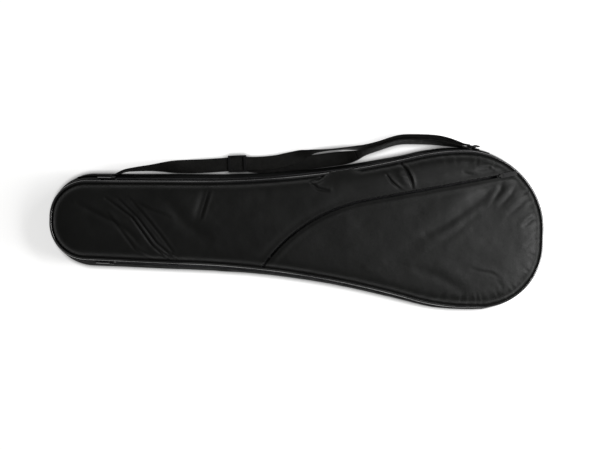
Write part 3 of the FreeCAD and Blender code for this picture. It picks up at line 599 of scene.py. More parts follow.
def bumps(tree, shader, layers):
    """Chains bump layers, each (height socket, strength, depth in mm)."""
    below = {}
    for height, strength, depth in layers:
        made = node(tree, "Bump", {"Height": height, "Strength": strength, "Distance": depth * MM, **below})
        below = {"Normal": made.outputs["Normal"]}
    feed(tree, shader, below)


def cloth_material(name, dark, light, weave=0.9, rough=(0.42, 0.56), sheen=0.3, wrinkle=0.5, ripstop=False,
                   specular=0.5):
    """Woven nylon: a fine plain weave, small wrinkles, soft colour changes and a satin sheen."""
    made, tree, shader = material(name)
    uv = coordinates(tree)
    threads = maths(tree, "MULTIPLY", ribs(tree, uv, 0, weave * MM), ribs(tree, uv, 1, weave * MM))
    patches = maths(tree, "MULTIPLY", noise(tree, uv, 70, 3.0), 0.7)
    specks = maths(tree, "MULTIPLY", noise(tree, uv, 1.3), 0.3)
    tone = maths(tree, "ADD", patches, specks)
    feed(tree, shader, {
        "Base Color": mix_colour(tree, spread(tree, tone, 0.0, 1.0, 0.35, 0.65), dark, light),
        "Roughness": spread(tree, noise(tree, uv, 24, 3.0), *rough),
        "Specular IOR Level": specular,
        "Sheen Weight": sheen,
        "Sheen Roughness": 0.45,
        "Sheen Tint": (0.68, 0.69, 0.67),
    })
    layers = [(noise(tree, uv, 9, 3.0, 0.55), 0.5, wrinkle), (noise(tree, uv, 2.6), 0.35, 0.18 * wrinkle),
              (threads, 0.35, 0.05)]
    if ripstop:
        grid = maths(tree, "MAXIMUM", ribs(tree, uv, 0, 6 * MM), ribs(tree, uv, 1, 6 * MM))
        layers.append((spread(tree, grid, 0.0, 1.0, 0.9, 1.0), 0.6, 0.12))
    bumps(tree, shader, layers)
    return made


def webbing_material(name, dark, light, pitch=1.5):
    """Ribbed polypropylene webbing or zip tape: ridges across it and fine threads along it."""
    made, tree, shader = material(name)
    uv = coordinates(tree)
    ridge = ribs(tree, uv, 0, pitch * MM)
    fine = ribs(tree, uv, 1, 0.8 * MM)
    tone = maths(tree, "ADD", maths(tree, "MULTIPLY", ridge, 0.25), noise(tree, uv, 14, 3.0))
    feed(tree, shader, {
        "Base Color": mix_colour(tree, spread(tree, tone, 0.0, 1.0, 0.2, 0.8), dark, light),
        "Roughness": spread(tree, noise(tree, uv, 6), 0.5, 0.68),
        "Specular IOR Level": 0.12,
        "Sheen Weight": 0.02,
        "Sheen Roughness": 0.4,
    })
    bumps(tree, shader, [(ridge, 0.7, 0.14), (fine, 0.4, 0.07), (noise(tree, uv, 1.1), 0.3, 0.06)])
    return made


def piping_material(name):
    """Glossy coated cord, rubbed dull in places, with the small crimps of its bend and its stitching."""
    made, tree, shader = material(name)
    uv = coordinates(tree)
    tone = noise(tree, uv, 30, 3.0)
    feed(tree, shader, {
        "Base Color": mix_colour(tree, tone, (0.004, 0.004, 0.0045), (0.010, 0.010, 0.011)),
        "Roughness": spread(tree, noise(tree, uv, 12, 3.0), 0.16, 0.3),
        "Coat Weight": spread(tree, noise(tree, uv, 120, 1.0), 1.0, 0.15, 0.42, 0.58),
        "Coat IOR": 2.0,
        "Coat Roughness": 0.12,
    })
    bumps(tree, shader, [(noise(tree, uv, 3.2), 0.3, 0.08), (ribs(tree, uv, 0, 3.9 * MM), 0.15, 0.04)])
    return made


def hard_material(name, base, worn, metallic, rough, grain=0.5, wear=0.5):
    """Moulded plastic or painted metal, rubbed bright along its edges."""
    made, tree, shader = material(name)
    place = coordinates(tree, from_uv=False)
    shape = node(tree, "NewGeometry").outputs["Pointiness"]
    rub = maths(tree, "MULTIPLY", spread(tree, shape, 0.0, wear, 0.52, 0.6), noise(tree, place, 1.6, 3.0))
    rub = spread(tree, rub, 0.0, 1.0, 0.12, 0.5)
    shade = mix_colour(tree, noise(tree, place, 4.0, 3.0), base, tuple(c * 1.6 for c in base))
    feed(tree, shader, {
        "Base Color": mix_colour(tree, rub, shade, worn),
        "Metallic": spread(tree, rub, 0.0, metallic, 0.0, 1.0),
        "Roughness": spread(tree, noise(tree, place, 2.2, 3.0), *rough),
        "Specular IOR Level": 0.25,
    })
    bumps(tree, shader, [(noise(tree, place, 0.7), 0.3, 0.05 * grain), (noise(tree, place, 5.0), 0.2, 0.08)])
    return made


def foam_material(name):
    """Closed-cell foam with small pores."""
    made, tree, shader = material(name)
    place = coordinates(tree, from_uv=False)
    pores = node(tree, "TexVoronoi", {"Vector": place, "Scale": 900.0}).outputs["Distance"]
    tone = spread(tree, pores, 0.0, 1.0, 0.1, 0.6)
    colour = mix_colour(tree, tone, (0.05, 0.05, 0.052), (0.12, 0.12, 0.12))
    feed(tree, shader, {"Base Color": colour, "Roughness": 0.9})
    bumps(tree, shader, [(pores, 0.6, 0.3), (noise(tree, place, 14.0, 3.0), 0.4, 0.6)])
    return made


def thread_material(name):
    made, tree, shader = material(name)
    twist = noise(tree, coordinates(tree, from_uv=False), 0.5)
    colour = mix_colour(tree, twist, (0.0045, 0.0045, 0.0048), (0.010, 0.010, 0.0105))
    feed(tree, shader, {"Base Color": colour, "Roughness": 0.6, "Specular IOR Level": 0.2})
    bumps(tree, shader, [(twist, 0.5, 0.08)])
    return made


NYLON_FRONT = cloth_material("nylon_front", (0.0048, 0.0051, 0.0049), (0.0085, 0.0088, 0.0084), wrinkle=0.5,
                             sheen=0.04, specular=0.24)
NYLON_REAR = cloth_material("nylon_rear", (0.009, 0.009, 0.010), (0.018, 0.018, 0.020), weave=1.1,
                            rough=(0.5, 0.65), wrinkle=0.7, sheen=0.1, specular=0.3)
NYLON_GUSSET = cloth_material("nylon_gusset", (0.0055, 0.0058, 0.0057), (0.0095, 0.0098, 0.0096), wrinkle=0.6,
                              rough=(0.66, 0.8), sheen=0.0, specular=0.03)
LINING = cloth_material("lining", (0.035, 0.035, 0.038), (0.06, 0.06, 0.066), rough=(0.5, 0.62),
                        wrinkle=0.8, ripstop=True)
WEBBING = webbing_material("webbing", (0.0058, 0.0058, 0.0056), (0.0125, 0.0122, 0.0112))
ZIP_TAPE = webbing_material("zip_tape", (0.004, 0.004, 0.0042), (0.008, 0.008, 0.0083), pitch=1.0)
PIPING = piping_material("piping")
COIL = hard_material("zip_coil", (0.004, 0.004, 0.0045), (0.010, 0.010, 0.011), 0.0, (0.4, 0.55), wear=0.4)
METAL = hard_material("zip_metal", (0.004, 0.004, 0.0045), (0.02, 0.0195, 0.0185), 0.15, (0.4, 0.55))
WIRE = hard_material("wire", (0.007, 0.007, 0.0075), (0.06, 0.059, 0.056), 0.4, (0.34, 0.5))
PLASTIC = hard_material("hardware", (0.0025, 0.0025, 0.0027), (0.008, 0.008, 0.0085), 0.0, (0.42, 0.6),
                        grain=1.0, wear=0.4)
FOAM = foam_material("foam")
THREAD = thread_material("thread")


def finish(piece, surface, slot, *more):
    piece.data.materials.clear()
    for each in (surface, *more):
        piece.data.materials.append(each)
    return piece


# ---------------------------------------------------------------- riding


def over_fold(piece, *replaced):
    """Fabric that runs from the fixed handle end into the front flap: hides the pieces it replaces and bakes
    its place into its points.
    """
    if replaced:
        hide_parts(*replaced)
    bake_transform(piece)
    return piece


def on_body(piece, body, *replaced):
    if replaced:
        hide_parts(*replaced)
    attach(piece, body)
    return piece


def flat_area(piece):
    return sum(p.area for p in piece.data.polygons)


# ---------------------------------------------------------------- sheets inside an outline

FINE = 1.7 * MM  # squares of the front fabric
ROUGH = 1.6 * FINE  # squares of the hidden or flat fabric


def node_z(name):
    low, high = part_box(name)
    return low.z, high.z


def half_width(x, height, offset, fuller=0.0):
    """How far the outline's +Y half, or its fuller -Y half, reaches at stations along X."""
    half = half_outline(height, offset, fuller)[::-1]
    x_rising = np.maximum.accumulate(half[:, 0])
    return np.interp(x, x_rising, half[:, 1], left=0.0, right=0.0)


def inside_of(height, offset):
    """A measure of how far inside an outline a point lies: below zero is outside."""
    rim = outline(height, offset, RIM_POINTS)
    low, high = rim[:, 0].min(), rim[:, 0].max()

    def measure(co):
        xy = co[:, :2]
        far = nearest(xy, rim)
        within = (xy[:, 1] < half_width(xy[:, 0], height, offset)) & (xy[:, 0] > low) & (xy[:, 0] < high)
        within &= xy[:, 1] > -half_width(xy[:, 0], height, offset, HEAD_FULLNESS)
        return np.where(within, far, -far)

    return measure


def filled_sheet(name, height, offset, step):
    """A flat sheet of small squares, cut to an outline, with its UVs in metres."""
    reach_x = REAR_SHAPE["end"] + 4 * MM
    reach_y = REAR_SHAPE["radius"] + 4 * MM
    xs = np.arange(-reach_x, reach_x, step)
    ys = np.arange(-reach_y, reach_y, step)
    gx, gy = np.meshgrid(xs, ys, indexing="ij")
    co = beside(np.column_stack([gx.ravel(), gy.ravel()]), height)
    inside = inside_of(height, offset)
    near = inside(co)
    keep = near > -1.6 * step
    faces = grid_faces(len(xs), len(ys), False)
    faces = faces[keep[faces].all(1)]
    used = np.unique(faces)
    index = np.full(len(co), -1)
    index[used] = np.arange(len(used))
    piece = new_mesh(name, co[used], index[faces][:, ::-1])
    cut_mesh(piece, inside)
    face_out(piece, upward=True)
    set_uvs(piece.data, points_of(piece)[:, :2])
    return piece


LAYER_INSET = -3.4 * MM  # edge of the pads, inside the outline
LINING_INSET = -2.8 * MM  # edge of the linings
PAD_STEP = 6 * MM


def slab(name, cad_name, wobble, seed):
    """A closed foam pad inside the outline: rounded at its rim, a little uneven above and below."""
    low, high = node_z(cad_name)
    piece = filled_sheet(name, high, LAYER_INSET, PAD_STEP)
    co = points_of(piece)
    inside = np.maximum(inside_of(high, LAYER_INSET)(co), 0)
    soft = 1 - np.exp(-(inside / (2.2 * MM)) ** 1.5)
    co[:, 2] = high - 0.35 * (high - low) * (1 - soft)
    co[:, 2] -= wobble * (0.5 + 0.5 * smooth_noise(co[:, 0], co[:, 1], 34 * MM, seed)) * soft
    set_points(piece, co)
    thicken(piece, (high - low) * 0.62)
    return finish(piece, FOAM, "foam")


def liner(name, cad_name, wobble, seed):
    """A thin lining and its area: taut at its rim, with shallow wrinkles."""
    low, high = node_z(cad_name)
    piece = filled_sheet(name, high, LINING_INSET, ROUGH)
    co = points_of(piece)
    inside = np.maximum(inside_of(high, LINING_INSET)(co), 0)
    loose = 1 - np.exp(-(inside / (9 * MM)) ** 2)
    x, y = co[:, 0], co[:, 1]
    wave = 0.6 * smooth_noise(x, y, 30 * MM, seed) + 0.4 * smooth_noise(x * 0.6, y, 12 * MM, seed + 1)
    co[:, 2] += wobble * wave * loose
    set_points(piece, co)
    area = flat_area(piece)
    thicken(piece, high - low)
    return finish(piece, LINING, "lining"), area


# ---------------------------------------------------------------- the rear tray

REAR_INSET = -1.0 * MM
high = node_z("rear_panel")[1]
rear_skin = filled_sheet("rear_skin", high, REAR_INSET, ROUGH)
co = points_of(rear_skin)
inside = np.maximum(inside_of(high, REAR_INSET)(co), 0)
flat = 1 - np.exp(-(inside / (10 * MM)) ** 2)
x, y = co[:, 0], co[:, 1]
wave = smooth_noise(x, y, 48 * MM, 21) + 0.5 * smooth_noise(x, y * 1.5, 19 * MM, 22)
co[:, 2] = high + 0.3 * MM - 0.35 * MM * flat + 0.35 * MM * wave * flat
set_points(rear_skin, co)
area = flat_area(rear_skin)
thicken(rear_skin, 0.8 * MM)
finish(rear_skin, NYLON_REAR, "nylon_rear")
on_body(rear_skin, "root", "rear_panel")

rear_foam_core = slab("rear_foam_core", "rear_foam_pad", 0.5 * MM, 31)
on_body(rear_foam_core, "root", "rear_foam_pad")

rear_lining_cloth, area = liner("rear_lining_cloth", "rear_lining", 1.0 * MM, 41)
on_body(rear_lining_cloth, "root", "rear_lining")

AROUND = 1000


def loop_path(height, offset, count=AROUND):
    return beside(outline(height, offset, count), height)


rear_cord = tube("rear_cord", loop_path(REAR_LEVEL, 0.0), CORD, sides=12, closed=True, crimp=0.02, seed=51)
finish(rear_cord, PIPING, "piping")
on_body(rear_cord, "root", "rear_piping")

front_cord = tube("front_cord", loop_path(FRONT_LEVEL, 0.0), CORD, sides=14, closed=True, crimp=0.02, seed=52)
finish(front_cord, PIPING, "piping")
over_fold(front_cord, "front_piping", "handle_end_piping")


CUT_LENGTH = 1.12  # a gusset's cut length, with its folds and overlap, over the length that shows


def wall_cloth(piece, thickness, surface, slot, width, rests_on):
    area = flat_area(piece)
    thicken(piece, thickness, offset=1.0)
    m = piece.modifiers[-1]
    m.material_offset = 1
    m.material_offset_rim = 1
    finish(piece, surface, slot, LINING)
    return width, area / width * CUT_LENGTH, area, rests_on


GUSSET_LOW, GUSSET_HIGH = node_z("lower_gusset")
span = GUSSET_HIGH - GUSSET_LOW
rows = [(GUSSET_LOW + span * s, bulge * MM) for s, bulge in (
    (0, -0.7), (0.04, -0.2), (0.12, 0.15), (0.22, 0.3), (0.34, 0.4), (0.46, 0.45), (0.58, 0.45), (0.7, 0.35),
    (0.82, 0.15), (0.92, -0.05), (0.97, -0.25), (1.0, -0.7))]
side_wall = wall("side_wall", rows, AROUND, ripple=0.7 * MM, seed=61)
facts = wall_cloth(side_wall, 2.6 * MM, NYLON_GUSSET, "nylon_gusset", 0.029, ["rear_skin"])
on_body(side_wall, "root", "lower_gusset")

UPPER_LOW, UPPER_HIGH = node_z("upper_gusset")
rows = [(UPPER_LOW + up * MM, bulge * MM) for up, bulge in ((0, -0.6), (0.5, -0.1), (1.6, 0.1), (3.2, 0.15))]
rows += [(UPPER_HIGH - 0.4 * MM, 0.1 * MM), (UPPER_HIGH + 0.7 * MM, -0.5 * MM)]
rim_wall = wall("rim_wall", rows, AROUND, ripple=0.15 * MM, seed=63)
facts = wall_cloth(rim_wall, 1.3 * MM, NYLON_GUSSET, "nylon_gusset", 0.0115, ["front_cord"])
over_fold(rim_wall, "upper_gusset")

STOP_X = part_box("main_zip_stops")[0].x
END_LOW_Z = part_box("handle_end_gusset")[0].z
rows = [(END_LOW_Z - 0.1 * MM + (UPPER_LOW - END_LOW_Z + 0.3 * MM) * s, bulge * MM) for s, bulge in (
    (0, -0.5), (0.08, -0.05), (0.3, 0.2), (0.6, 0.25), (0.85, 0.1), (1.0, -0.3))]


def end_wall_ring(name, rows, seed):
    """The handle end's part of the wall, from one zip stop round the end to the other."""
    ring = outline(FRONT_LEVEL, 0.0, AROUND)
    keep = np.flatnonzero(ring[:, 0] < STOP_X)
    split = np.flatnonzero(np.diff(keep) > 1)[0] + 1
    chosen = np.concatenate([keep[split:], keep[:split]])
    length = np.linalg.norm(np.diff(ring, axis=0), axis=1).mean()
    verts, uvs = [], []
    for height, offset in rows:
        xy = outline(height, offset, AROUND)[chosen]
        run = np.arange(len(chosen)) * length
        ripple = 0.35 * MM * smooth_noise(run, run * 0 + height, 17 * MM, seed)
        xy = xy * (1 + ripple[:, None] / np.linalg.norm(xy, axis=1)[:, None])
        verts.append(beside(xy, height))
        uvs.append(beside(run, height))
    faces = grid_faces(len(rows), len(chosen), False)
    return new_mesh(name, np.concatenate(verts), faces, np.concatenate(uvs))


end_wall = end_wall_ring("end_wall", rows, 65)
facts = wall_cloth(end_wall, 2.4 * MM, NYLON_GUSSET, "nylon_gusset", 0.0145, ["side_wall"])
on_body(end_wall, "root", "handle_end_gusset")

# ---------------------------------------------------------------- the main zip


def tape_strip(name, low, high, seed):
    rows = [(low - 0.5 * MM, -1.0 * MM), (low + (high - low) * 0.35, -0.9 * MM),
            (low + (high - low) * 0.7, -0.95 * MM), (high + 0.3 * MM, -1.05 * MM)]
    strip = wall(name, rows, AROUND, low_x=ZIP_END_X, ripple=0.1 * MM, seed=seed)
    thicken(strip, 0.9 * MM, offset=1.0)
    return finish(strip, ZIP_TAPE, "zip_tape")


low_tape = tape_strip("low_tape", ZIP_LOW, ZIP_LOW_TOP, 71)
on_body(low_tape, "root", "zip_tape_lower")
high_tape = tape_strip("high_tape", ZIP_HIGH, ZIP_HIGH_TOP, 72)
over_fold(high_tape, "zip_tape_upper", "zip_end_tape")


def outward(path):
    """The level direction to the right of a path, at each of its points."""
    tangent = unit(np.gradient(path, axis=0))
    return np.stack([tangent[:, 1], -tangent[:, 0], tangent[:, 2] * 0], 1)


def coil(name, path, out, wide, tall, wire, pitch=1.45 * MM, turn_steps=8, sides=5):
    """A zip coil: one thread wound along a path that lies level; out is a direction at each point."""
    distance = runs(path)
    count = int(distance[-1] / pitch) * turn_steps
    at = np.linspace(0, distance[-1], count)

    def along(values):
        return np.stack([np.interp(at, distance, values[:, k]) for k in range(3)], 1)

    centre, o, u = along(path), along(out), np.array([[0.0, 0.0, 1.0]])
    turn = np.arange(count) * 2 * math.pi / turn_steps
    squash = np.sign(np.cos(turn)) * np.abs(np.cos(turn)) ** 0.75
    line = centre + o * (squash * wide)[:, None] + u * (np.sin(turn) * tall)[:, None]
    tangent = unit(np.gradient(line, axis=0))
    radial = o * np.cos(turn)[:, None] + u * np.sin(turn)[:, None]
    other = unit(np.cross(tangent, radial))
    radial = np.cross(other, tangent)
    verts = np.concatenate([line + (radial * math.cos(a) + other * math.sin(a)) * wire
                            for a in np.arange(sides) * 2 * math.pi / sides])
    return finish(new_mesh(name, verts, band_faces(sides, count)), COIL, "zip_coil")


COIL_INSET = -1.5 * MM
COIL_REACH = 0.2 * MM  # how far the two coils grow into each other


def main_coil(name, low, high):
    path = loop_path((low + high) / 2, COIL_INSET)[around(AROUND, ZIP_END_X)[0]]
    return coil(name, path, outward(path), 0.9 * MM, (high - low) / 2 - 0.1 * MM, 0.3 * MM)


low_coil = main_coil("low_coil", COIL_LOW, COIL_LOW_TOP + COIL_REACH)
on_body(low_coil, "root", "zip_coil_lower")
high_coil = main_coil("high_coil", COIL_HIGH - COIL_REACH, COIL_HIGH_TOP)
over_fold(high_coil, "zip_coil_upper", "zip_end_coil")

# ---------------------------------------------------------------- the front

front_lining_cloth, area = liner("front_lining_cloth", "front_lining", -0.6 * MM, 43)
over_fold(front_lining_cloth, "front_lining", "handle_end_lining")

front_foam_core = slab("front_foam_core", "front_foam_pad", 0.4 * MM, 33)
over_fold(front_foam_core, "front_foam_pad", "handle_end_foam")

low, high = node_z("pocket_back")
pocket_back_cloth = filled_sheet("pocket_back_cloth", high, LAYER_INSET, PAD_STEP)
cut_mesh(pocket_back_cloth, lambda co: co[:, 0] - (FOLD_X + 8 * MM))
area = flat_area(pocket_back_cloth)
thicken(pocket_back_cloth, high - low)
finish(pocket_back_cloth, LINING, "lining")
on_body(pocket_back_cloth, "front_flap", "pocket_back")

EDGE_GAP = 1.7 * MM  # from the pocket zip's line to each piece's turned edge
# Where the fabric bulges out over the piping, and its height there at distances from the piping's middle.
BULGE_BEGIN, BULGE_END = 36 * MM, 96 * MM
BULGE_REACH = 4.4 * MM
BULGE_PROFILE = ((1.0, 53.2), (2.2, 54.7), (3.6, 55.7), (6.0, 57.7), (10.0, 60.4), (15.0, 62.6))


def bulge_over(co):
    """Fabric that bulges out over the piping, on the strap's side of the neck."""
    inside = rim_distance(co[:, :2])
    share = np.clip((co[:, 0] - BULGE_BEGIN) / (BULGE_END - BULGE_BEGIN), 0, 1)
    strength = np.clip(1.35 * np.sin(math.pi * share), 0, 1) * (co[:, 1] > 0) * (inside < 15 * MM)
    from_rim, level = np.array(BULGE_PROFILE).T * MM
    raised = np.interp(inside, from_rim, level)
    co[:, 2] += (np.maximum(raised, co[:, 2]) - co[:, 2]) * strength
    push = BULGE_REACH * strength * np.exp(-((inside - 1.3 * MM) / (7 * MM)) ** 2)
    co[:, 0] -= 0.17 * push
    co[:, 1] += 0.98 * push
    return co


def front_piece(name, pocket):
    """One of the two front pieces, from the piping to its edge along the pocket zip, and its area."""
    piece = filled_sheet(name, FRONT_LEVEL, -1.3 * MM, FINE)
    sign = -1 if pocket else 1
    cut_mesh(piece, lambda co: sign * line_side(co[:, :2]) - EDGE_GAP)
    co = points_of(piece)
    co[:, 2] = front_height(co[:, :2], pocket)
    edge = np.abs(line_side(co[:, :2])) < EDGE_GAP + 0.2 * MM
    co[edge, 2] -= 0.3 * MM
    set_points(piece, bulge_over(co))
    area = flat_area(piece)
    thicken(piece, SKIN)
    return finish(piece, NYLON_FRONT, "nylon_front"), area


front_skin, area = front_piece("front_skin", False)
over_fold(front_skin, "front_panel", "handle_end_panel")

pocket_skin, area = front_piece("pocket_skin", True)
on_body(pocket_skin, "front_flap", "pocket_panel")

# ---------------------------------------------------------------- the pocket's zip

CHAIN_END = 212 * MM  # how far the chain runs along its straight part
CHAIN_BACK = LINE_CURVE * math.radians(142 - 101.7)  # and round its curve
CHAIN_LEVEL = (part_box("pocket_coil_upper")[0].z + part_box("pocket_coil_upper")[1].z) / 2


TAPE_NEAR, TAPE_FAR = 2.4 * MM, 6.2 * MM  # the tapes' edges, from the pocket zip's line


def chain_strip(name, side, seed):
    run = np.arange(-CHAIN_BACK, CHAIN_END, 2 * MM)
    verts, uvs = [], []
    for share in (0.0, 0.35, 0.7, 1.0):
        across = side * (TAPE_NEAR + (TAPE_FAR - TAPE_NEAR) * share)
        lift = 0.12 * MM * smooth_noise(run, run * 0 + across, 12 * MM, seed)
        verts.append(beside(line_point(run, across), CHAIN_LEVEL + 0.4 * MM + lift))
        uvs.append(beside(run, across))
    faces = grid_faces(4, len(run), False)
    if side > 0:
        faces = faces[:, ::-1]
    strip = new_mesh(name, np.concatenate(verts), faces[:, ::-1], np.concatenate(uvs))
    thicken(strip, 0.8 * MM)
    return finish(strip, ZIP_TAPE, "zip_tape")


def chain_coil(name, side):
    run = np.arange(-CHAIN_BACK, CHAIN_END, 1.5 * MM)
    path = beside(line_point(run, side * 1.75 * MM), CHAIN_LEVEL)
    return coil(name, path, -outward(path) * side, 0.85 * MM, 0.9 * MM, 0.28 * MM)


for name, side, replaced in (("far", 1, "upper"), ("near", -1, "lower")):
    strip = chain_strip(f"pocket_{name}_tape", side, 81)
    on_body(strip, "front_flap", f"pocket_tape_{replaced}")
    teeth = chain_coil(f"pocket_{name}_coil", side)
    on_body(teeth, "front_flap", f"pocket_coil_{replaced}")

# ---------------------------------------------------------------- stitching


def front_row(name, run, side, pocket):
    xy = line_point(run, side)
    xy = xy[inside_of(FRONT_LEVEL, 0.0)(xy) > 5 * MM]
    row = stitches(name, beside(xy, front_height(xy, pocket) + 0.05 * MM), [0, 0, 1.0])
    return finish(row, THREAD, "nylon_front")


line_run = np.arange(-CHAIN_BACK - 40 * MM, CHAIN_END + 30 * MM, 2 * MM)
ROW_SIDE = 4.0 * MM  # from the pocket zip's line to each row of stitches
on_body(front_row("pocket_far_stitches", line_run, ROW_SIDE, False), "front_flap")
on_body(front_row("pocket_near_stitches", line_run, -ROW_SIDE, True), "front_flap")


def wall_row(name, height, offset, low_x=None):
    chosen, closed = around(AROUND, low_x)
    path = loop_path(height, offset)[chosen]
    if closed:
        path = np.concatenate([path, path[:1]])
    return finish(stitches(name, path, outward(path)), THREAD, "nylon_gusset")


over_fold(wall_row("rim_stitches", UPPER_LOW + 1.1 * MM, 0.1 * MM))
on_body(wall_row("side_stitches", GUSSET_HIGH - 1.8 * MM, 0.05 * MM), "root")
on_body(wall_row("foot_stitches", GUSSET_LOW + 2.2 * MM, 0.2 * MM), "root")

# ---------------------------------------------------------------- the shoulder strap

STRAP_WIDE = 21.4 * MM
STRAP_THICK = 1.6 * MM


def gusset_path(x_low, x_high, height, off, step=4.0):
    """Points along the +Y side of the gusset, in millimetres, standing on edge."""
    xs = np.arange(x_low, x_high, step)
    ys = half_width(xs * MM, height * MM, off * MM) / MM
    return [(x, y, height, 90.0) for x, y in zip(xs, ys)]


# The strap's two layers: X, Y and height in millimetres, and how far the webbing tilts from flat, in degrees.
LONG_ROUTE = gusset_path(-336, -276, 19.0, 2.6, 6.0) + [
    (-266, 76.2, 18.0, 84), (-248, 79.4, 15.4, 76), (-226, 82.0, 12.0, 66), (-208, 83.8, 9.2, 50),
    (-192, 84.8, 7.2, 30), (-172, 85.6, 6.0, 12), (-150, 86.6, 5.8, 0), (-120, 89.2, 5.8, 0),
    (-94, 91.8, 5.8, 0), (-64, 92.6, 5.8, 0), (-36, 95.6, 5.9, 0), (-18, 99.8, 6.1, 4), (-2, 104.0, 6.8, 16),
    (10, 108.6, 8.8, 46), (22, 113.0, 10.6, 76), (46, 116.2, 11.0, 88), (70, 119.0, 11.0, 86),
    (88, 120.6, 10.8, 78), (104, 122.4, 10.6, 72), (124, 127.6, 10.4, 70), (140, 133.2, 10.2, 69),
    (155, 137.3, 10.2, 68), (172, 138.8, 10.2, 68), (200, 139.0, 10.2, 69), (216, 137.9, 10.6, 70),
    (231, 135.3, 12.0, 74), (243, 132.4, 14.4, 82), (252, 129.8, 16.4, 88), (257, 129.2, 17.0, 90)]
RETURN_ROUTE = [
    (-84, 91.6, 3.7, 0), (-70, 89.6, 3.7, 0), (-48, 88.8, 3.7, 0), (-20, 91.0, 3.6, 0),
    (6, 94.8, 3.4, 0), (34, 99.4, 3.2, 0), (56, 102.8, 3.4, 6), (72, 105.2, 5.0, 22),
    (87, 108.6, 8.0, 44), (102, 114.2, 10.0, 64), (124, 121.4, 10.4, 72), (140, 127.2, 10.4, 72),
    (155, 131.2, 10.4, 72), (172, 132.6, 10.4, 72), (200, 132.6, 10.4, 72), (216, 131.4, 10.8, 74),
    (231, 129.4, 12.4, 78), (243, 127.4, 15.0, 84), (251, 126.0, 16.6, 88), (256, 125.4, 17.0, 90)]


def webbing_piece(name, verts, uvs, count, sides):
    """A closed band of webbing from the points of its sides, each side's points along the band in turn."""
    faces = list(band_faces(sides, count))
    faces.append(tuple((sides - 1 - k) * count for k in range(sides)))
    faces.append(tuple(k * count + count - 1 for k in range(sides)))
    piece = new_mesh(name, verts, faces, uvs)
    face_out(piece)
    return finish(piece, WEBBING, "webbing")


def ribbon(name, line, width=STRAP_WIDE, thickness=STRAP_THICK, seed=11, start_run=0.0):
    """A ribbon of webbing along an evenly sampled line of x, y, z and tilt, in metres and degrees."""
    path, tilt = line[:, :3], np.radians(line[:, 3])
    tangent = unit(np.gradient(path, axis=0))
    side = unit(np.cross([0, 0, 1.0], tangent))
    up = np.cross(tangent, side)
    across = side * np.cos(tilt)[:, None] + up * np.sin(tilt)[:, None]
    normal = np.cross(tangent, across)
    run = start_run + runs(path)
    half, thick = width / 2, thickness / 2
    shape = [(-1, 0), (-0.985, 0.75), (-0.93, 1.0), (-0.6, 0.88), (-0.2, 0.84), (0.2, 0.84), (0.6, 0.88),
             (0.93, 1.0), (0.985, 0.75), (1, 0), (0.985, -0.75), (0.93, -1.0), (0.6, -0.88), (0.2, -0.84),
             (-0.2, -0.84), (-0.6, -0.88), (-0.93, -1.0), (-0.985, -0.75)]
    cup = smooth_noise(run, run * 0, 38 * MM, seed) * 0.5 * MM * min(1.0, width / STRAP_WIDE)
    verts, uvs = [], []
    for a, b in shape:
        lift = b * thick + cup * (1 - a * a)
        verts.append(path + across * (a * half) + normal * lift[:, None])
        uvs.append(beside(run, a * half))
    return webbing_piece(name, np.concatenate(verts), np.concatenate(uvs), len(path), len(shape))


def split_ribbon(names, route, split_x, seed):
    """One strap in two pieces that meet where both ride on the same body."""
    line = spline(np.asarray(route, float) * [MM, MM, MM, 1], 2.0 * MM)
    index = int(np.argmin(np.abs(line[:, 0] - split_x)))
    first = ribbon(names[0], line[:index + 1], seed=seed)
    return first, ribbon(names[1], line[index:], seed=seed, start_run=runs(line[:index + 1, :3])[-1])


RING_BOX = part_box("strap_ring")
RING_NEAR = Vector((RING_BOX[0].x + 1.5 * MM, RING_BOX[1].y - 1.5 * MM, (RING_BOX[0].z + RING_BOX[1].z) / 2))
RING_FAR = Vector((RING_BOX[1].x - 1.5 * MM, RING_BOX[0].y + 1.5 * MM, RING_NEAR.z))

long_first, long_last = split_ribbon(("strap_long", "strap_long_end"), LONG_ROUTE, 40 * MM, 91)
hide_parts("strap_webbing", "strap_sewn_end")
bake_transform(long_first)
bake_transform(long_last)

back_first, back_last = split_ribbon(("strap_back", "strap_back_end"), RETURN_ROUTE, 90 * MM, 93)
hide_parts("strap_return")
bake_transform(back_first)
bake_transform(back_last)


def bar_wrap(name, bar, direction, tail, width, radius=2.45 * MM, seed=95):
    """Webbing folded round an upright bar, its two tails leaving side by side along a direction."""
    toward = np.array([direction[0], direction[1], 0.0])
    toward /= np.linalg.norm(toward)
    side = np.array([-toward[1], toward[0], 0.0])
    centre = np.array(bar[:])
    begin = [centre + side * radius + toward * s for s in np.linspace(tail, 0, 12, endpoint=False)]
    turn = np.linspace(0, math.pi, 16)
    bend = [centre + side * radius * math.cos(t) - toward * radius * math.sin(t) for t in turn]
    end = [centre - side * radius + toward * s for s in np.linspace(0, tail, 13)[1:]]
    path = np.array(begin + bend + end)
    return ribbon(name, beside(path, 90.0), width=width, seed=seed)


near_wrap = bar_wrap("ring_near_wrap", RING_NEAR, (-1.0, 0.13), 9 * MM, 18 * MM)
on_body(near_wrap, "root", "strap_ring_loop")
far_wrap = bar_wrap("ring_far_wrap", RING_FAR, (1.0, -0.2), 7 * MM, 17 * MM, seed=96)
on_body(far_wrap, "root", "ring_tab")
tab_line = np.asarray(gusset_path(272, 294, 17.0, 2.2, 2.0)) * [MM, MM, MM, 1]
tab_sewn = ribbon("ring_tab_sewn", tab_line, width=17 * MM, seed=97)
on_body(tab_sewn, "root", "ring_tab_end")

ADJUSTER = (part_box("strap_adjuster")[0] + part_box("strap_adjuster")[1]) / 2
ALONG = np.array([0.9981, 0.0615, 0.0])


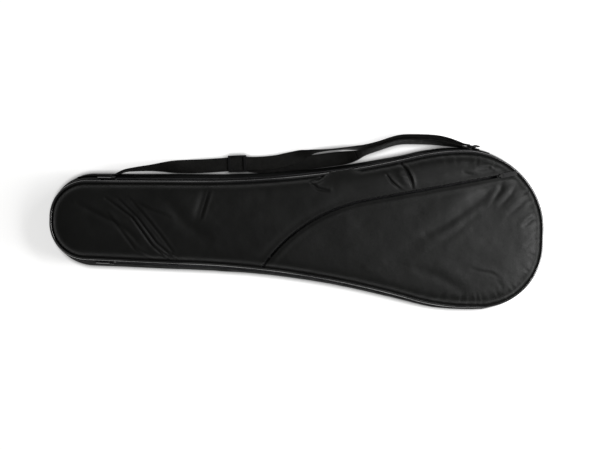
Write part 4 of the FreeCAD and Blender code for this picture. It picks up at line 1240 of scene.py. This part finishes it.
def adjuster_path():
    """The return layer's sewn end, folded round the adjuster's middle bar."""
    centre = np.array([ADJUSTER.x, ADJUSTER.y, 2.5 * MM])
    radius = 1.75 * MM
    begin = [centre + ALONG * s + [0, 0, radius] for s in np.linspace(15, 2.6, 10) * MM]
    turn = np.linspace(0, math.pi, 14)
    bend = [centre - ALONG * (math.sin(t) * (radius + 0.9 * MM) - 2.4 * MM * (1 - math.sin(t)))
            + np.array([0, 0, math.cos(t) * radius]) for t in turn]
    end = [centre + ALONG * s - [0, 0, radius] for s in np.linspace(2.6, 15, 10) * MM]
    return np.array(begin + bend + end)


def vertical_wrap(name, path, across, width, thickness):
    """A thin ribbon whose path turns over itself in an upright plane."""
    tangent = unit(np.gradient(path, axis=0))
    across = np.broadcast_to(across, path.shape)
    normal = np.cross(tangent, across)
    half, thick = width / 2, thickness / 2
    shape = [(-1, 0), (-0.97, 0.8), (-0.6, 1.0), (0.0, 1.0), (0.6, 1.0), (0.97, 0.8), (1, 0), (0.97, -0.8),
             (0.6, -1.0), (0.0, -1.0), (-0.6, -1.0), (-0.97, -0.8)]
    run = runs(path)
    verts = np.concatenate([path + across * (a * half) + normal * (b * thick) for a, b in shape])
    uvs = np.concatenate([beside(run, a * half) for a, b in shape])
    return webbing_piece(name, verts, uvs, len(path), len(shape))


ACROSS = np.array([-ALONG[1], ALONG[0], 0.0])
adjuster_wrap = vertical_wrap("adjuster_wrap", adjuster_path(), ACROSS, STRAP_WIDE, 1.3 * MM)
on_body(adjuster_wrap, "strap_adjuster", "adjuster_loop")


def sewn_patch(name, x_low, x_high, z_low, z_high, replaced):
    """A patch on the gusset under the webbing, with its turned edge."""
    columns, rows = 22, 12
    turned = 0.3 * MM  # how far its edges lie lower
    xs = np.linspace(x_low, x_high, columns) * MM
    zs = np.linspace(z_low, z_high, rows) * MM
    verts, uvs = [], []
    for number, z in enumerate(zs):
        ys = half_width(xs, z, 0.75 * MM)
        ys = ys - (turned if number in (0, rows - 1) else 0.0)
        ys[[0, -1]] -= turned
        verts.append(beside(np.column_stack([xs, ys]), z))
        uvs.append(beside(xs, z))
    faces = grid_faces(rows, columns, False)[:, ::-1]
    patch = new_mesh(name, np.concatenate(verts), faces, np.concatenate(uvs))
    thicken(patch, 0.9 * MM)
    on_body(finish(patch, NYLON_GUSSET, "nylon_gusset"), "root", replaced)


sewn_patch("strap_patch", -342, -304, 7.5, 30.5, "strap_anchor_patch")
sewn_patch("ring_patch", 256, 298, 6.0, 28.0, "ring_anchor_patch")


def box_stitches(name, x_low, x_high, z_low, z_high, off):
    """A stitched box with a cross in it, on webbing that lies along the gusset."""
    corners = [(x_low, z_low), (x_high, z_low), (x_high, z_high), (x_low, z_high), (x_low, z_low),
               (x_high, z_high), (x_high, z_low), (x_low, z_high)]
    path = []
    for (xa, za), (xb, zb) in zip(corners, corners[1:]):
        for s in np.linspace(0, 1, 14, endpoint=False):
            x, z = xa + (xb - xa) * s, za + (zb - za) * s
            path.append((x * MM, float(half_width(x * MM, z * MM, off * MM)), z * MM))
    row = stitches(name, np.array(path), [0.0, 1.0, 0.12], length=2.2 * MM, gap=0.9 * MM)
    on_body(finish(row, THREAD, "webbing"), "root")


box_stitches("strap_box_stitches", -333, -308, 11.5, 26.5, 3.55)
box_stitches("tab_box_stitches", 277, 291, 10.5, 23.5, 3.1)

# ---------------------------------------------------------------- hardware that keeps its CAD shape

HARDWARE = (
    # (surface, width of the rounded edges in millimetres, pieces)
    (METAL, 0.35, ("main_zip_stops", "pocket_zip_stops", "zip_slider_strap_side", "zip_slider_far_side",
                   "pocket_zip_slider", "zip_pull_strap_side", "zip_pull_far_side", "pocket_zip_pull")),
    (PLASTIC, 0.7, ("strap_adjuster",)),
    (WIRE, 0.0, ("strap_ring",)),
)
for surface, rounded, names in HARDWARE:
    for name in names:
        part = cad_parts[name]
        part.data.materials.clear()
        part.data.materials.append(surface)
        if rounded:
            edge = part.modifiers.new("edge", "BEVEL")
            edge.width = rounded * MM
            edge.segments = 3
            edge.limit_method = "ANGLE"
            edge.angle_limit = math.radians(35)

# ---------------------------------------------------------------- floor, light and camera

floor_material, tree, shader = material("floor")
# The floor glows white, and ambient occlusion darkens its colour and glow: painted shade in the narrow gaps
# and round the bag's foot.
painted_shade_openness = maths(tree, "POWER", node(tree, "AmbientOcclusion", {"Distance": 8 * MM}).outputs["AO"], 2.0)
feed(tree, shader, {
    "Base Color": mix_colour(tree, painted_shade_openness, (0.05, 0.05, 0.05), (0.93, 0.93, 0.93)),
    "Roughness": 0.8,
    "Specular IOR Level": 0.1,
    "Emission Color": (1.0, 1.0, 1.0),
    "Emission Strength": maths(tree, "MULTIPLY", painted_shade_openness, 0.66),
})
FLOOR_REACH, FLOOR_LEVEL = 4.0, -0.6 * MM
corners = [(x * FLOOR_REACH, y * FLOOR_REACH, FLOOR_LEVEL) for x, y in ((-1, -1), (1, -1), (1, 1), (-1, 1))]
floor = new_mesh("floor", corners, [(0, 1, 2, 3)], smooth=False)
floor.data.materials.append(floor_material)

world = bpy.data.worlds.new("studio")
bpy.context.scene.world = world
world.use_nodes = True
world.node_tree.nodes["Background"].inputs[0].default_value = (0.99, 0.98, 0.95, 1)
world.node_tree.nodes["Background"].inputs[1].default_value = 0.15


def area_light(name, place, target, size, power):
    data = bpy.data.lights.new(name, "AREA")
    data.shape = "RECTANGLE"
    data.size, data.size_y = size
    data.energy = power
    lamp = bpy.data.objects.new(name, data)
    bpy.context.scene.collection.objects.link(lamp)
    lamp.location = place
    lamp.rotation_euler = (Vector(target) - Vector(place)).to_track_quat("-Z", "Y").to_euler()
    return lamp


area_light("key", (0.95, 0.35, 1.3), (0.3, 0, 0), (0.7, 0.36), 6.5)
area_light("side", (1.0, -0.1, 0.75), (0.25, 0, 0), (0.4, 0.9), 10.5)

CAMERA_HIGH = 1.55
VIEW_WIDE = 0.899  # width of the view at the front's height
ROLL = math.radians(1.4)
TILT = math.radians(1.6)
target = Vector((5.2 * MM, 0.75 * MM, 58 * MM))
place = Vector((target.x, target.y + (CAMERA_HIGH - target.z) * math.tan(TILT), CAMERA_HIGH))
back = (place - target).normalized()
right = Vector((math.cos(ROLL), math.sin(ROLL), 0))
right = (right - back * right.dot(back)).normalized()
turn = Matrix((right, back.cross(right), back)).transposed().to_4x4()
camera_data = bpy.data.cameras.new("camera")
camera_data.sensor_width = 36
camera_data.lens = 36 * (place - target).length / VIEW_WIDE
camera_data.clip_start = 0.01
camera = bpy.data.objects.new("camera", camera_data)
bpy.context.scene.collection.objects.link(camera)
camera.matrix_world = Matrix.Translation(place) @ turn
bpy.context.scene.camera = camera
bpy.context.scene.view_settings.view_transform = "Standard"
